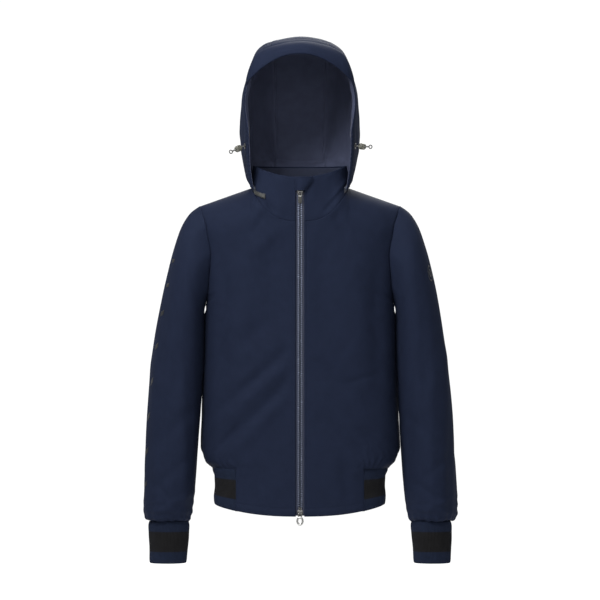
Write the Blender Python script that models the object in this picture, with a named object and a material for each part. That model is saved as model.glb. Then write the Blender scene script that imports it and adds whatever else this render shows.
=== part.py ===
"""Hooded foul weather jacket, hanging as it does on a body: front towards -Y, wearer's left at +X.

The origin is the middle of the neck, level with the high point of the shoulders. Metres, +Z up.
"""

import math

import bmesh
import bpy
from mathutils import Matrix, Vector

# ---- driving dimensions -------------------------------------------------------------------------
HEM_Z = -0.634  # front hem at the zip
SIDE_HEM_Z = -0.612  # hem at the sides and back
RIB_TOP_Z = -0.5406  # where the body fabric blouses over the hem rib
HEM_HALF = 0.172  # half width of the hem rib
HEM_RISE_POWER = 2.5  # how the front hem curves up to the sides
RIB_FRONT_X = 0.1275  # the rib ends here, and the front hem is body fabric
RIB_THICK = 0.004
SHELL = 0.0020  # softshell fabric
LINING = 0.0012
LINED_ACROSS, LINED_DEEP = 0.965, 0.945  # the lining is the body's shape, drawn in by these
LINING_DROP = 0.006
SEAM = 0.0006  # gap left where two panels meet
SECTION_POWER = 2.8  # how square the body's cross-section is
SIDE_SEAM_ANGLE = math.radians(89.9)
LINING_HEM_Z = -0.522
BODY_LEVELS = (
    RIB_TOP_Z, -0.526, -0.498, -0.440, -0.360, -0.280, -0.215, -0.165, -0.115, -0.075, -0.045, -0.028, -0.018
)

NECK_EASE = 0.0028
NECK_HALF = 0.098  # half width of the neck seam
NECK_SIDE_Z = 0.018
NECK_FRONT_Z = -0.050
NECK_BACK_Z = 0.028
SHOULDER_X = 0.200  # the top of the armhole
SHOULDER_Z = -0.018
ARMPIT_Z = -0.215
SHOULDER_ROUND = 0.085  # depth below the shoulder ridge over which it rounds off
COLLAR_FRONT_Z = 0.038  # top edge of the collar, front, side and back
COLLAR_SIDE_Z = 0.062
COLLAR_TOP_HALF = 0.094

ZIP_FOOT = Vector((0, -0.118, HEM_Z))  # the front zip lies on one straight line
ZIP_HEAD = Vector((0, -0.085, COLLAR_FRONT_Z))
ZIP_GAP_HALF = 0.0085  # half the width of zip that shows between the front panels
TAPE_HALF = 0.018
CHAIN_HALF = 0.0045
TOP_SLIDER_S = 0.6428  # the sliders' places, along the zip from the hem
BOTTOM_SLIDER_S = 0.0065
SLIDER_HALF = (0.0060, 0.0065)  # half width, half length

CUFF_TOP_Z = -0.6475
CUFF_Z = -0.730
CUFF_OUTER = (0.3020, 0.3010)  # the cuff's outer and inner line, at its top and its foot
CUFF_INNER = (0.2215, 0.2265)
CUFF_HALF_DEEP = 0.041
SLEEVE_LINING_SHARE = 0.87  # the sleeve's lining is this much narrower than the sleeve


def station(value, table):
    """Smooth value between the stations (place, value), which rise in place."""
    if value <= table[0][0]:
        return table[0][1]
    for (p0, v0), (p1, v1) in zip(table, table[1:]):
        if value <= p1:
            t = (value - p0) / (p1 - p0)
            t = t * t * (3 - 2 * t) * 0.5 + t * 0.5
            return v0 + (v1 - v0) * t
    return table[-1][1]


# ---- materials and solids -----------------------------------------------------------------------
def finish(name, color, roughness, metallic=0.0):
    material = bpy.data.materials.new(name)
    material.use_nodes = True
    shader = material.node_tree.nodes["Principled BSDF"]
    shader.inputs["Base Color"].default_value = (*color, 1)
    shader.inputs["Roughness"].default_value = roughness
    shader.inputs["Metallic"].default_value = metallic
    return material


def clear_scene():
    for obj in list(bpy.data.objects):
        bpy.data.objects.remove(obj, do_unlink=True)


def solid(name, bm, material, smooth=True):
    """One closed body, facing out, as an object of its own."""
    bmesh.ops.recalc_face_normals(bm, faces=bm.faces)
    mesh = bpy.data.meshes.new(name)
    bm.to_mesh(mesh)
    bm.free()
    mesh.materials.append(material)
    if smooth:
        mesh.shade_smooth()
        mesh.set_sharp_from_angle(angle=math.radians(40))
    obj = bpy.data.objects.new(name, mesh)
    bpy.context.scene.collection.objects.link(obj)
    return obj


def normal_at(surface, u, v):
    step = 1e-3
    along = surface(min(u + step, 1), v) - surface(max(u - step, 0), v)
    across = surface(u, min(v + step, 1)) - surface(u, max(v - step, 0))
    return along.cross(across).normalized()


def sheet(
    name, surface, us, vs, thick, material, inset=0.0, wraps=False, flip=False, normal_of=None, cut_out=None
):
    """A curved sheet of fabric: the surface(u, v) moved in by inset, and thick wide inwards.

    A sheet that wraps is a tube, whose first and last columns are the same. normal_of gives the
    outward direction at a point; without it, the surface's own slope does. cut_out says which
    cells (column, row) of the grid are left out.
    """
    bm = bmesh.new()
    side = -1 if flip else 1
    columns = us[:-1] if wraps else us
    grids = []
    for depth in (0.0, thick):
        grid = []
        for u in columns:
            column = []
            for v in vs:
                point = surface(u, v)
                normal = normal_of(point) if normal_of else normal_at(surface, u, v) * side
                below = depth + (inset(u, v) if callable(inset) else inset)
                column.append(bm.verts.new(point - normal * below))
            grid.append(column)
        grids.append(grid)
    outer, inner = grids
    cells = len(us) - 1

    def kept(i, k):
        i = i % cells if wraps else i
        return 0 <= i < cells and 0 <= k < len(vs) - 1 and not (cut_out and cut_out(i, k))

    for i in range(cells):
        j = (i + 1) % len(columns)
        for k in range(len(vs) - 1):
            if not kept(i, k):
                continue
            # Both layers split along the same diagonal, so that they never cross.
            for corners in (((i, k), (j, k), (j, k + 1)), ((i, k), (j, k + 1), (i, k + 1))):
                bm.faces.new([outer[a][b] for a, b in corners])
                bm.faces.new([inner[a][b] for a, b in reversed(corners)])
            sides = (
                (i, k - 1, (i, k), (j, k)),
                (i, k + 1, (j, k + 1), (i, k + 1)),
                (i - 1, k, (i, k + 1), (i, k)),
                (i + 1, k, (j, k), (j, k + 1)),
            )
            for next_i, next_k, (a, b), (c, d) in sides:
                if not kept(next_i, next_k):
                    bm.faces.new((outer[a][b], inner[a][b], inner[c][d], outer[c][d]))
    bmesh.ops.delete(bm, geom=[v for v in bm.verts if not v.link_faces], context="VERTS")
    return solid(name, bm, material)


def even(count, low=0.0, high=1.0):
    return [low + (high - low) * i / count for i in range(count + 1)]


def add_box(bm, low, high, place):
    """A box between two corners given in the frame of the matrix place."""
    middle = (Vector(low) + Vector(high)) / 2
    size = Vector(high) - Vector(low)
    matrix = place @ Matrix.Translation(middle) @ Matrix.Diagonal((*size, 1))
    bmesh.ops.create_cube(bm, size=1, matrix=matrix)


def add_tube(bm, radius, low, high, place, sides=16):
    """A cylinder along the matrix's own Z."""
    matrix = place @ Matrix.Translation((0, 0, (low + high) / 2))
    bmesh.ops.create_cone(
        bm, cap_ends=True, segments=sides, radius1=radius, radius2=radius, depth=high - low, matrix=matrix
    )


def joined(name, shapes, material, cuts=()):
    """The union of the shapes, less the cuts, worked out once and kept as a plain mesh."""
    def loose(bm):
        bmesh.ops.recalc_face_normals(bm, faces=bm.faces)
        mesh = bpy.data.meshes.new(name + "_piece")
        bm.to_mesh(mesh)
        bm.free()
        obj = bpy.data.objects.new(name + "_piece", mesh)
        bpy.context.scene.collection.objects.link(obj)
        return obj

    whole = loose(shapes[0])
    others = [(loose(bm), "UNION") for bm in shapes[1:]] + [(loose(bm), "DIFFERENCE") for bm in cuts]
    for other, operation in others:
        modifier = whole.modifiers.new(operation, "BOOLEAN")
        modifier.operation = operation
        modifier.object = other
    bpy.context.view_layer.update()
    graph = bpy.context.evaluated_depsgraph_get()
    mesh = bpy.data.meshes.new_from_object(whole.evaluated_get(graph))
    for obj in [whole] + [other for other, _ in others]:
        bpy.data.objects.remove(obj, do_unlink=True)
    mesh.name = name
    mesh.materials.clear()
    mesh.materials.append(material)
    mesh.shade_smooth()
    mesh.set_sharp_from_angle(angle=math.radians(35))
    obj = bpy.data.objects.new(name, mesh)
    bpy.context.scene.collection.objects.link(obj)
    return obj


def box_mesh(low, high, place):
    bm = bmesh.new()
    add_box(bm, low, high, place)
    return bm


def tube_mesh(radius, low, high, place, sides=16):
    bm = bmesh.new()
    add_tube(bm, radius, low, high, place, sides)
    return bm


def ring_mesh(outer, inner, low, high, place, sides=24):
    """A flat washer or short sleeve around the matrix's own Z."""
    bm = bmesh.new()
    rings = []
    for radius, height in ((outer, low), (outer, high), (inner, high), (inner, low)):
        ring = []
        for i in range(sides):
            turn = 2 * math.pi * i / sides
            point = Vector((radius * math.cos(turn), radius * math.sin(turn), height))
            ring.append(bm.verts.new(place @ point))
        rings.append(ring)
    for a, b in zip(rings, rings[1:] + rings[:1]):
        for i in range(sides):
            j = (i + 1) % sides
            bm.faces.new((a[i], a[j], b[j], b[i]))
    return bm


def cord(name, points, radius, material, cyclic=False):
    curve = bpy.data.curves.new(name, "CURVE")
    curve.dimensions = "3D"
    curve.bevel_depth = radius
    curve.bevel_resolution = 2
    curve.use_fill_caps = True
    spline = curve.splines.new("POLY")
    spline.points.add(len(points) - 1)
    for point, place in zip(spline.points, points):
        point.co = (*place, 1)
    spline.use_cyclic_u = cyclic
    curve.materials.append(material)
    obj = bpy.data.objects.new(name, curve)
    bpy.context.scene.collection.objects.link(obj)
    return obj


def hang_from(name, place, pieces):
    """An empty on a joint's axis, with the pieces that move with it as its children."""
    empty = bpy.data.objects.new(name, None)
    empty.empty_display_size = 0.01
    empty.location = place
    bpy.context.scene.collection.objects.link(empty)
    bpy.context.view_layer.update()
    for piece in pieces:
        piece.parent = empty
        piece.matrix_parent_inverse = empty.matrix_world.inverted()
    return empty


# ---- the body's surface -------------------------------------------------------------------------
def half_width(z):
    return station(z, (
        (-0.634, 0.171), (-0.556, 0.1715), (-0.541, 0.178), (-0.526, 0.1885), (-0.500, 0.1945),
        (-0.400, 0.1915), (-0.220, 0.1875), (-0.120, 0.1930), (SHOULDER_Z, 0.2050),
    ))


def zip_point(s):
    return ZIP_FOOT + (ZIP_HEAD - ZIP_FOOT).normalized() * s


def front_depth(z):
    """The centre front is one straight line, so that the sliders run true."""
    share = (z - ZIP_FOOT.z) / (ZIP_HEAD.z - ZIP_FOOT.z)
    return -(ZIP_FOOT.y + (ZIP_HEAD.y - ZIP_FOOT.y) * share)


def back_depth(z):
    return station(z, (
        (-0.634, 0.104), (-0.556, 0.105), (-0.530, 0.124), (-0.420, 0.126),
        (-0.250, 0.128), (-0.120, 0.120), (-0.030, 0.098), (0.030, 0.074),
    ))


def ridge_z(x):
    """The shoulder's top line, which climbs steeply inside the neck."""
    slope = (NECK_SIDE_Z - SHOULDER_Z) / (SHOULDER_X - NECK_HALF)
    return NECK_SIDE_Z + (NECK_HALF - abs(x)) * (slope if abs(x) > NECK_HALF else 1.3)


def body_y(x, z, side):
    """How far front (side -1) or back (side 1) the body reaches at x, z."""
    depth = front_depth(z) if side < 0 else back_depth(z)
    ratio = min(abs(x) / half_width(z), 1.0)
    section = max(1 - ratio**SECTION_POWER, 0.0) ** (1 / SECTION_POWER)
    below = min(max((ridge_z(x) - z) / SHOULDER_ROUND, 0.0), 1.0)
    return side * depth * section * math.sqrt(1 - (1 - below) ** 2.2)


def body_normal(side):
    """The outward direction at a point near the front (side -1) or back (side 1)."""
    reach = 0.006

    def normal(point):
        z = point.z
        high = min(abs(point.x) + reach, half_width(z))
        low = high - 2 * reach
        across = (body_y(high, z, side) - body_y(low, z, side)) / (high - low)
        x = abs(point.x)
        up = (body_y(x, z + reach, side) - body_y(x, z - reach, side)) / (2 * reach)
        return Vector((-side * across * math.copysign(1, point.x), side, -side * up)).normalized()
    return normal


def armhole_x(z):
    """The body panel's outer edge: the side seam, then the armhole."""
    if z <= ARMPIT_Z:
        return half_width(z)
    return station(z, (
        (ARMPIT_Z, half_width(ARMPIT_Z)), (-0.175, 0.1815), (-0.115, 0.1775),
        (-0.060, 0.1870), (-0.030, 0.1965), (SHOULDER_Z, SHOULDER_X),
    ))


def neck_z(x, side):
    """Height of the neck seam at x, and of the shoulder seam outside it."""
    if abs(x) >= NECK_HALF:
        return ridge_z(x)
    middle = NECK_FRONT_Z if side < 0 else NECK_BACK_Z
    return middle + (NECK_SIDE_Z - middle) * (abs(x) / NECK_HALF) ** 2.8


def hem_z(x):
    return HEM_Z + (SIDE_HEM_Z - HEM_Z) * (abs(x) / HEM_HALF) ** HEM_RISE_POWER


def body_panel(side, start, way, foot=RIB_TOP_Z, seam=SEAM * 0.7):
    """surface(u, v) of a body panel: u from start, near the middle, to the side seam.

    v runs from the foot to the neck, and from -1 to 0 down the front between the hem ribs.
    """
    def flat_place(u, v):
        edge_z = RIB_TOP_Z + max(v, 0.0) * (SHOULDER_Z - RIB_TOP_Z)
        edge = armhole_x(edge_z) - (SEAM if edge_z > ARMPIT_Z else 0.0)
        most = min(edge / half_width(edge_z), 1.0) ** (SECTION_POWER / 2)
        angle = u * min(math.asin(most), SIDE_SEAM_ANGLE)
        low = math.sin(angle) ** (2 / SECTION_POWER) * half_width(edge_z) / edge
        x = start + (edge - start) * (low + (u - low) * max(v, 0.0) ** 3)
        if v < 0:
            return x, foot + v * (foot - hem_z(x)), edge_z
        z = foot + v * (neck_z(start + (SHOULDER_X - start) * u, side) - SEAM - foot)
        return x, z, edge_z

    def surface(u, v):
        x, z, edge_z = flat_place(abs(u), v)
        y = body_y(x, z, side)
        edge_x, seam_z, _ = flat_place(1.0, v)
        astray = body_y(edge_x, seam_z, side) - side * seam
        below_armpit = min(max((ARMPIT_Z + 0.02 - edge_z) / 0.02, 0.0), 1.0)
        y -= astray * abs(u) ** 12 * below_armpit
        if x > NECK_HALF:
            ridge = body_y(x, ridge_z(x) - SEAM, side) - side * seam
            y -= ridge * max(v, 0.0) ** 60
        return Vector((way * math.copysign(x, u), y, z))
    return surface


def column_at(x, start):
    """The u at which a body panel's lowest row passes x."""
    low = (x - start) / (half_width(RIB_TOP_Z) - start)
    return math.asin(low ** (SECTION_POWER / 2)) / SIDE_SEAM_ANGLE


def drawn_in(surface):
    """The same surface as the lining takes it, inside and below the outer one."""
    def inner(u, v):
        point = surface(u, v)
        return Vector((point.x * LINED_ACROSS, point.y * LINED_DEEP, point.z - LINING_DROP * v**4))
    return inner


def neck_ease(u, v):
    """The front lining keeps clear of the crease where the body rounds into the neck."""
    return NECK_EASE * v**3


def make_body(fabric, lining, knit):
    rows = [(z - RIB_TOP_Z) / (SHOULDER_Z - RIB_TOP_Z) for z in BODY_LEVELS]
    neck_u = (NECK_HALF - ZIP_GAP_HALF) / (SHOULDER_X - ZIP_GAP_HALF)
    rib_u = column_at(RIB_FRONT_X, ZIP_GAP_HALF)
    columns = [0, 0.14, 0.28, rib_u, neck_u, 0.56, 0.65, 0.74, 0.82, 0.88, 0.94, 1.0]
    hem_rows = [-1, -0.66, -0.33]

    def past_front(i, k):
        """The hem rib's share of the lowest rows."""
        return k < len(hem_rows) and i >= columns.index(rib_u)

    for way, label in ((1, "left"), (-1, "right")):
        sheet(f"front_panel_{label}", body_panel(-1, ZIP_GAP_HALF, way), columns, hem_rows + rows, SHELL,
              fabric, normal_of=body_normal(-1), cut_out=past_front)
        lined = drawn_in(body_panel(-1, TAPE_HALF + 0.009, way, LINING_HEM_Z, 4 * SEAM))
        sheet(f"front_lining_{label}", lined, columns, rows, LINING, lining, inset=neck_ease,
              normal_of=body_normal(-1))
    half = [-1, -0.94, -0.88, -0.82, -0.74, -0.62, -0.49, -0.34, -0.17]
    columns = [(u + 1) / 2 for u in half + [0.0] + [-u for u in reversed(half)]]

    def whole_back(*shape):
        panel = body_panel(1, 0.0, 1, *shape)
        return lambda u, v: panel(1 - 2 * u, v)

    sheet("back_panel", whole_back(), columns, rows, SHELL, fabric, normal_of=body_normal(1))
    lined = drawn_in(whole_back(LINING_HEM_Z, 4 * SEAM))
    sheet("back_lining", lined, columns, rows, LINING, lining, normal_of=body_normal(1))

    def rib_surface(u, v):
        """Round the back from one front end to the other."""
        z = SIDE_HEM_Z + v * (RIB_TOP_Z - SEAM - SIDE_HEM_Z)
        half = half_width(z)
        end = math.asin(((RIB_FRONT_X + 2 * SEAM) / half) ** (SECTION_POWER / 2))
        turn = (math.pi - end) * (2 * u - 1)
        x = half * math.copysign(abs(math.sin(turn)) ** (2 / SECTION_POWER), turn)
        side = 1 if math.cos(turn) > 0 else -1
        return Vector((x, body_y(x, z, side), z))

    sheet("hem_rib", rib_surface, even(30), even(3), RIB_THICK, knit, inset=0.0006, flip=True)


# ---- sleeves ------------------------------------------------------------------------------------
# Down the arm: the outer line x, z, the inner line x, z, and the half depth.
SLEEVE = (
    (0.2006, -0.018, 0.1890, -0.2155, 0.056),
    (0.2210, -0.034, 0.1915, -0.2240, 0.064),
    (0.2380, -0.062, 0.1920, -0.2400, 0.070),
    (0.2515, -0.100, 0.1922, -0.2620, 0.073),
    (0.2640, -0.150, 0.1925, -0.2900, 0.073),
    (0.2760, -0.206, 0.1930, -0.3250, 0.072),
    (0.2880, -0.275, 0.1945, -0.3650, 0.070),
    (0.2980, -0.350, 0.1965, -0.4150, 0.068),
    (0.3050, -0.425, 0.2000, -0.4650, 0.066),
    (0.3090, -0.500, 0.2035, -0.5150, 0.064),
    (0.3120, -0.570, 0.2080, -0.5750, 0.062),
    (0.3135, -0.618, 0.2135, -0.6200, 0.058),
    (0.3105, -0.640, 0.2180, -0.6400, 0.050),
    (0.3030, -0.6468, 0.2210, -0.6468, 0.0415),
)
SLEEVE_FORWARD = 0.012  # how far forward the sleeve hangs at the cuff
ARMHOLE_FADE = 0.22  # the share of the sleeve over which the armhole's shape fades out


def sleeve_station(v):
    """The outer point, inner point and half depth at v, on a smooth curve through the stations."""
    place = min(max(v, 0.0), 1.0) * (len(SLEEVE) - 1)
    i = min(int(place), len(SLEEVE) - 2)
    t = place - i
    before = SLEEVE[max(i - 1, 0)]
    after = SLEEVE[min(i + 2, len(SLEEVE) - 1)]
    values = []
    for p0, p1, p2, p3 in zip(before, SLEEVE[i], SLEEVE[i + 1], after):
        curve = 2 * p1 + (p2 - p0) * t + (2 * p0 - 5 * p1 + 4 * p2 - p3) * t * t
        values.append((curve + (3 * p1 - p0 - 3 * p2 + p3) * t**3) / 2)
    forward = -SLEEVE_FORWARD * v
    return Vector((values[0], forward, values[1])), Vector((values[2], forward, values[3])), values[4]


def sleeve_oval(u, v):
    outer, inner, depth = sleeve_station(v)
    turn = 2 * math.pi * u
    middle = (outer + inner) / 2
    return middle + (outer - inner) / 2 * math.cos(turn) + Vector((0, depth * math.sin(turn), 0))


def armhole(u):
    """The armhole's loop, from the shoulder point round the back and up the front."""
    turn = 2 * math.pi * u
    z = (SHOULDER_Z + ARMPIT_Z) / 2 + (SHOULDER_Z - ARMPIT_Z) / 2 * math.cos(turn)
    x = armhole_x(z)
    side = 1 if math.sin(turn) >= 0 else -1
    return Vector((x + SEAM, body_y(x, z, side), z))


def sleeve_surface(way, shrink=1.0):
    def surface(u, v):
        point = sleeve_oval(u, v)
        fade = min(v / ARMHOLE_FADE, 1.0)
        fade = fade * fade * (3 - 2 * fade)
        point += (armhole(u) - sleeve_oval(u, 0.0)) * (1 - fade)
        outer, inner, _ = sleeve_station(v)
        middle = (outer + inner) / 2
        point = middle + (point - middle) * shrink
        return Vector((way * point.x, point.y, point.z))
    return surface


def cuff_surface(way):
    def surface(u, v):
        turn = 2 * math.pi * u
        outer = CUFF_OUTER[0] + v * (CUFF_OUTER[1] - CUFF_OUTER[0])
        inner = CUFF_INNER[0] + v * (CUFF_INNER[1] - CUFF_INNER[0])
        x = (outer + inner) / 2 + (outer - inner) / 2 * math.cos(turn)
        y = CUFF_HALF_DEEP * math.sin(turn) - SLEEVE_FORWARD
        return Vector((way * x, y, CUFF_TOP_Z + v * (CUFF_Z - CUFF_TOP_Z)))
    return surface


def make_sleeves(fabric, lining, knit):
    for way, label in ((1, "left"), (-1, "right")):
        around = even(16)
        flip = way > 0
        sheet(f"sleeve_{label}", sleeve_surface(way), around, even(13), SHELL, fabric,
              wraps=True, flip=flip)
        lined = sleeve_surface(way, SLEEVE_LINING_SHARE)
        sheet(f"sleeve_lining_{label}", lined, around, even(9, 0.03, 0.985), LINING, lining,
              wraps=True, flip=flip)
        sheet(f"cuff_{label}", cuff_surface(way), around, even(3), RIB_THICK, knit, wraps=True, flip=flip)


# ---- collar -------------------------------------------------------------------------------------
COLLAR_LINED = (0.945, 0.93)  # the lining's share of the collar's width and depth
COLLAR_LINING_START = 0.007  # how far beside the zip tape the lining starts
COLLAR_LINING_DROP = 0.002
HOOD_TAPE = 0.0012  # thickness of the tape on the collar, and how far out it lies
HOOD_TAPE_OUT = 0.0016
HOOD_PULL_ROUND = (0.832, 0.884)  # the ends of the hood zip's pull, round the collar
HOOD_PULL_OUT = (0.0040, 0.0032)  # and how far out of the collar they stand
HOOD_PULL_LOW, HOOD_PULL_RISE, HOOD_PULL_WIDE = 0.06, 0.18, 0.12  # shares of the collar's height
HOOD_PULL_THICK = 0.0018
HANGER_HALF = 0.030
HANGER_Y = (0.0530, 0.0640)
HANGER_Z = (0.026, 0.032)
HANGER_STRAP = 0.0015
LABEL_LOW, LABEL_HIGH = (-0.022, 0.0700, -0.045), (0.022, 0.0708, -0.012)
CUT_OVER = 0.001  # how far a cutting shape reaches past what it cuts


def collar_turn(u, start_x):
    start = math.asin(start_x / NECK_HALF)
    return start + u * (2 * math.pi - 2 * start)


def collar_foot(turn):
    x = NECK_HALF * math.sin(turn)
    side = -1 if math.cos(turn) > 0 else 1
    z = neck_z(x, side)
    return Vector((x, body_y(x, z, side), z + 3 * SEAM))


def collar_top(turn):
    front = math.cos(turn) > 0
    reach = ZIP_HEAD.y if front else 0.070
    z = COLLAR_SIDE_Z
    if front:
        z = COLLAR_FRONT_Z + (COLLAR_SIDE_Z - COLLAR_FRONT_Z) * math.sin(turn) ** 2
    return Vector((COLLAR_TOP_HALF * math.sin(turn), reach * abs(math.cos(turn)) ** 0.8, z))


def collar_surface(start_x, across=1.0, along=1.0, drop=0.0):
    def surface(u, v):
        turn = collar_turn(u, start_x)
        point = collar_foot(turn).lerp(collar_top(turn), v)
        return Vector((point.x * across, point.y * along, point.z - drop * v))
    return surface


def make_collar(fabric, lining, webbing):
    around = even(30)
    collar = collar_surface(ZIP_GAP_HALF)
    sheet("collar_outer", collar, around, even(3), SHELL, fabric)
    lined = collar_surface(TAPE_HALF + COLLAR_LINING_START, *COLLAR_LINED, COLLAR_LINING_DROP)
    sheet("collar_lining", lined, around, even(3, 0.06, 0.97), LINING, lining)
    # The zip that the hood fastens to, outside the foot of the collar.
    hood_zip_u = around[5:26]
    hood_zip_v = even(1, 0.10, 0.30)
    sheet("hood_zip_tape", collar, hood_zip_u, hood_zip_v, HOOD_TAPE, webbing, inset=-HOOD_TAPE_OUT)

    # The pull of that zip, past the hood's corner on the wearer's right.
    def pull_surface(u, v):
        around_share = HOOD_PULL_ROUND[0] + (HOOD_PULL_ROUND[1] - HOOD_PULL_ROUND[0]) * u
        return collar(around_share, HOOD_PULL_LOW + HOOD_PULL_RISE * u + HOOD_PULL_WIDE * v)

    def pull_inset(u, v):
        return -HOOD_PULL_OUT[0] - (HOOD_PULL_OUT[1] - HOOD_PULL_OUT[0]) * u

    sheet("hood_zip_pull", pull_surface, even(4), even(2), HOOD_PULL_THICK, webbing, inset=pull_inset)
    # Inside the back neck: a flat loop to hang the jacket by, and a blank label.
    low = Vector((-HANGER_HALF, HANGER_Y[0], HANGER_Z[0]))
    high = Vector((HANGER_HALF, HANGER_Y[1], HANGER_Z[1]))
    gap_low = low + Vector((HANGER_STRAP, HANGER_STRAP, -CUT_OVER))
    gap_high = high + Vector((-HANGER_STRAP, CUT_OVER, CUT_OVER))
    outer = box_mesh(low, high, Matrix())
    joined("hanger_loop", [outer], webbing, [box_mesh(gap_low, gap_high, Matrix())])
    solid("neck_label", box_mesh(LABEL_LOW, LABEL_HIGH, Matrix()), lining)


# ---- front zip ----------------------------------------------------------------------------------
def zip_frame(s=0.0):
    """At s along the zip: X across, Y inwards, Z up the zip."""
    up = (ZIP_HEAD - ZIP_FOOT).normalized()
    axes = Matrix((Vector((1, 0, 0)), up.cross(Vector((1, 0, 0))), up)).transposed()
    return Matrix.Translation(zip_point(s)) @ axes.to_4x4()


ZIP_LENGTH = (ZIP_HEAD - ZIP_FOOT).length
TAPE_IN = (0.0038, 0.0046)  # places inwards from the front's face
CHAIN_IN = (0.0006, 0.0035)
PLACKET_IN = (0.0100, 0.0112)
PLACKET_HALF = 0.0240
PLACKET_ENDS = (0.006, 0.004)
CHAIN_START = 0.0185
CHAIN_END = ZIP_LENGTH - 0.009
CHAIN_MID = 0.0008  # half the gap that the slider's post runs in
STOP_LENGTH = 0.0034
PIN_START, PIN_HALF = 0.0015, 0.0032
PLATE = 0.0014  # thickness of a slider's plates
PLATE_BACK = 0.0056  # where the rear plate starts
POST_HALF = 0.0004
CROWN_HALF, CROWN_REACH = 0.0014, 0.0042  # the bridge over the front plate, which the pull hangs on
CROWN_OUT, CROWN_THICK = 0.0056, 0.0012
PLATE_SINK = 0.0007  # how far joined shapes run into a plate
HINGE_OUT = 0.0034
HINGE_PIN_R, HINGE_PIN_HALF = 0.0006, 0.0037
ARM_X, ARM_Z = (0.0026, 0.0038), (-0.0080, 0.0008)
ARM_OUT, ARM_BACK = 0.0005, 0.0008
TAB_HALF, TAB_Z, TAB_THICK = 0.0038, (-0.0225, -0.0072), 0.0014
RING_OUTER, RING_INNER, RING_THICK = 0.0072, 0.0040, 0.0016
RING_Z, RING_LONG = -0.0155, 1.3
GUARD_FOOT = 0.6460  # where the garage over the zip's top starts
GUARD_LEFT, GUARD_RIGHT, GUARD_FLARE = -0.0095, 0.0125, 0.0135
GUARD_OUT, GUARD_BULGE, GUARD_THICK = 0.0016, 0.0070, 0.0010


def zip_box(name, x, y, s, way, material):
    low, high = sorted((x[0] * way, x[1] * way))
    return solid(name, box_mesh((low, y[0], s[0]), (high, y[1], s[1]), zip_frame()), material)


def slider_shapes(s):
    wide, tall = SLIDER_HALF
    frame = zip_frame(s)
    plate_end = PLATE_BACK + PLATE
    shapes = [
        box_mesh((-wide, -PLATE, -tall), (wide, 0.0, tall), frame),
        box_mesh((-wide, PLATE_BACK, -tall), (wide, plate_end, tall), frame),
        box_mesh((-POST_HALF, -PLATE_SINK, -0.002), (POST_HALF, plate_end - PLATE_SINK, 0.004), frame),
    ]
    for foot in (-CROWN_REACH, CROWN_REACH - CROWN_THICK):
        low, high = (-CROWN_HALF, -CROWN_OUT, foot), (CROWN_HALF, -PLATE_SINK, foot + CROWN_THICK)
        shapes.append(box_mesh(low, high, frame))
    low, high = (-CROWN_HALF, -CROWN_OUT, -CROWN_REACH), (CROWN_HALF, CROWN_THICK - CROWN_OUT, CROWN_REACH)
    return shapes + [box_mesh(low, high, frame)]


def pull_shapes(s, tab):
    """A bail through the slider's crown, and what hangs from it."""
    frame = zip_frame(s)
    crossways = Matrix.Rotation(math.pi / 2, 4, "Y")
    across = frame @ Matrix.Translation((0, 0.0002 - HINGE_OUT, 0)) @ crossways
    shapes = [tube_mesh(HINGE_PIN_R, -HINGE_PIN_HALF, HINGE_PIN_HALF, across, 10)]
    for way in (-1, 1):
        left, right = sorted((ARM_X[0] * way, ARM_X[1] * way))
        low, high = (left, -HINGE_OUT - ARM_OUT, ARM_Z[0]), (right, ARM_BACK - HINGE_OUT, ARM_Z[1])
        shapes.append(box_mesh(low, high, frame))
    return shapes + [tab(frame)]


def flat_tab(frame):
    low = (-TAB_HALF, -HINGE_OUT - TAB_THICK / 2, TAB_Z[0])
    return box_mesh(low, (TAB_HALF, TAB_THICK / 2 - HINGE_OUT, TAB_Z[1]), frame)


def round_tab(frame):
    flat = Matrix.Rotation(math.pi / 2, 4, "X")
    place = frame @ Matrix.Translation((0, -HINGE_OUT, RING_Z)) @ flat @ Matrix.Diagonal((1, RING_LONG, 1, 1))
    return ring_mesh(RING_OUTER, RING_INNER, -RING_THICK / 2, RING_THICK / 2, place, 20)


def chin_guard(u, v):
    """The fabric garage over the top of the zip, with one rounded side."""
    right = GUARD_RIGHT + GUARD_FLARE * math.sin(v * math.pi / 2) ** 1.3
    bulge = GUARD_BULGE * math.sin(math.pi * min(max(u, 0.02), 0.98)) ** 0.6
    s = GUARD_FOOT + v * (ZIP_LENGTH - GUARD_FOOT)
    return zip_frame(s) @ Vector((GUARD_LEFT + u * (right - GUARD_LEFT), -bulge - GUARD_OUT, 0))


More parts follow.
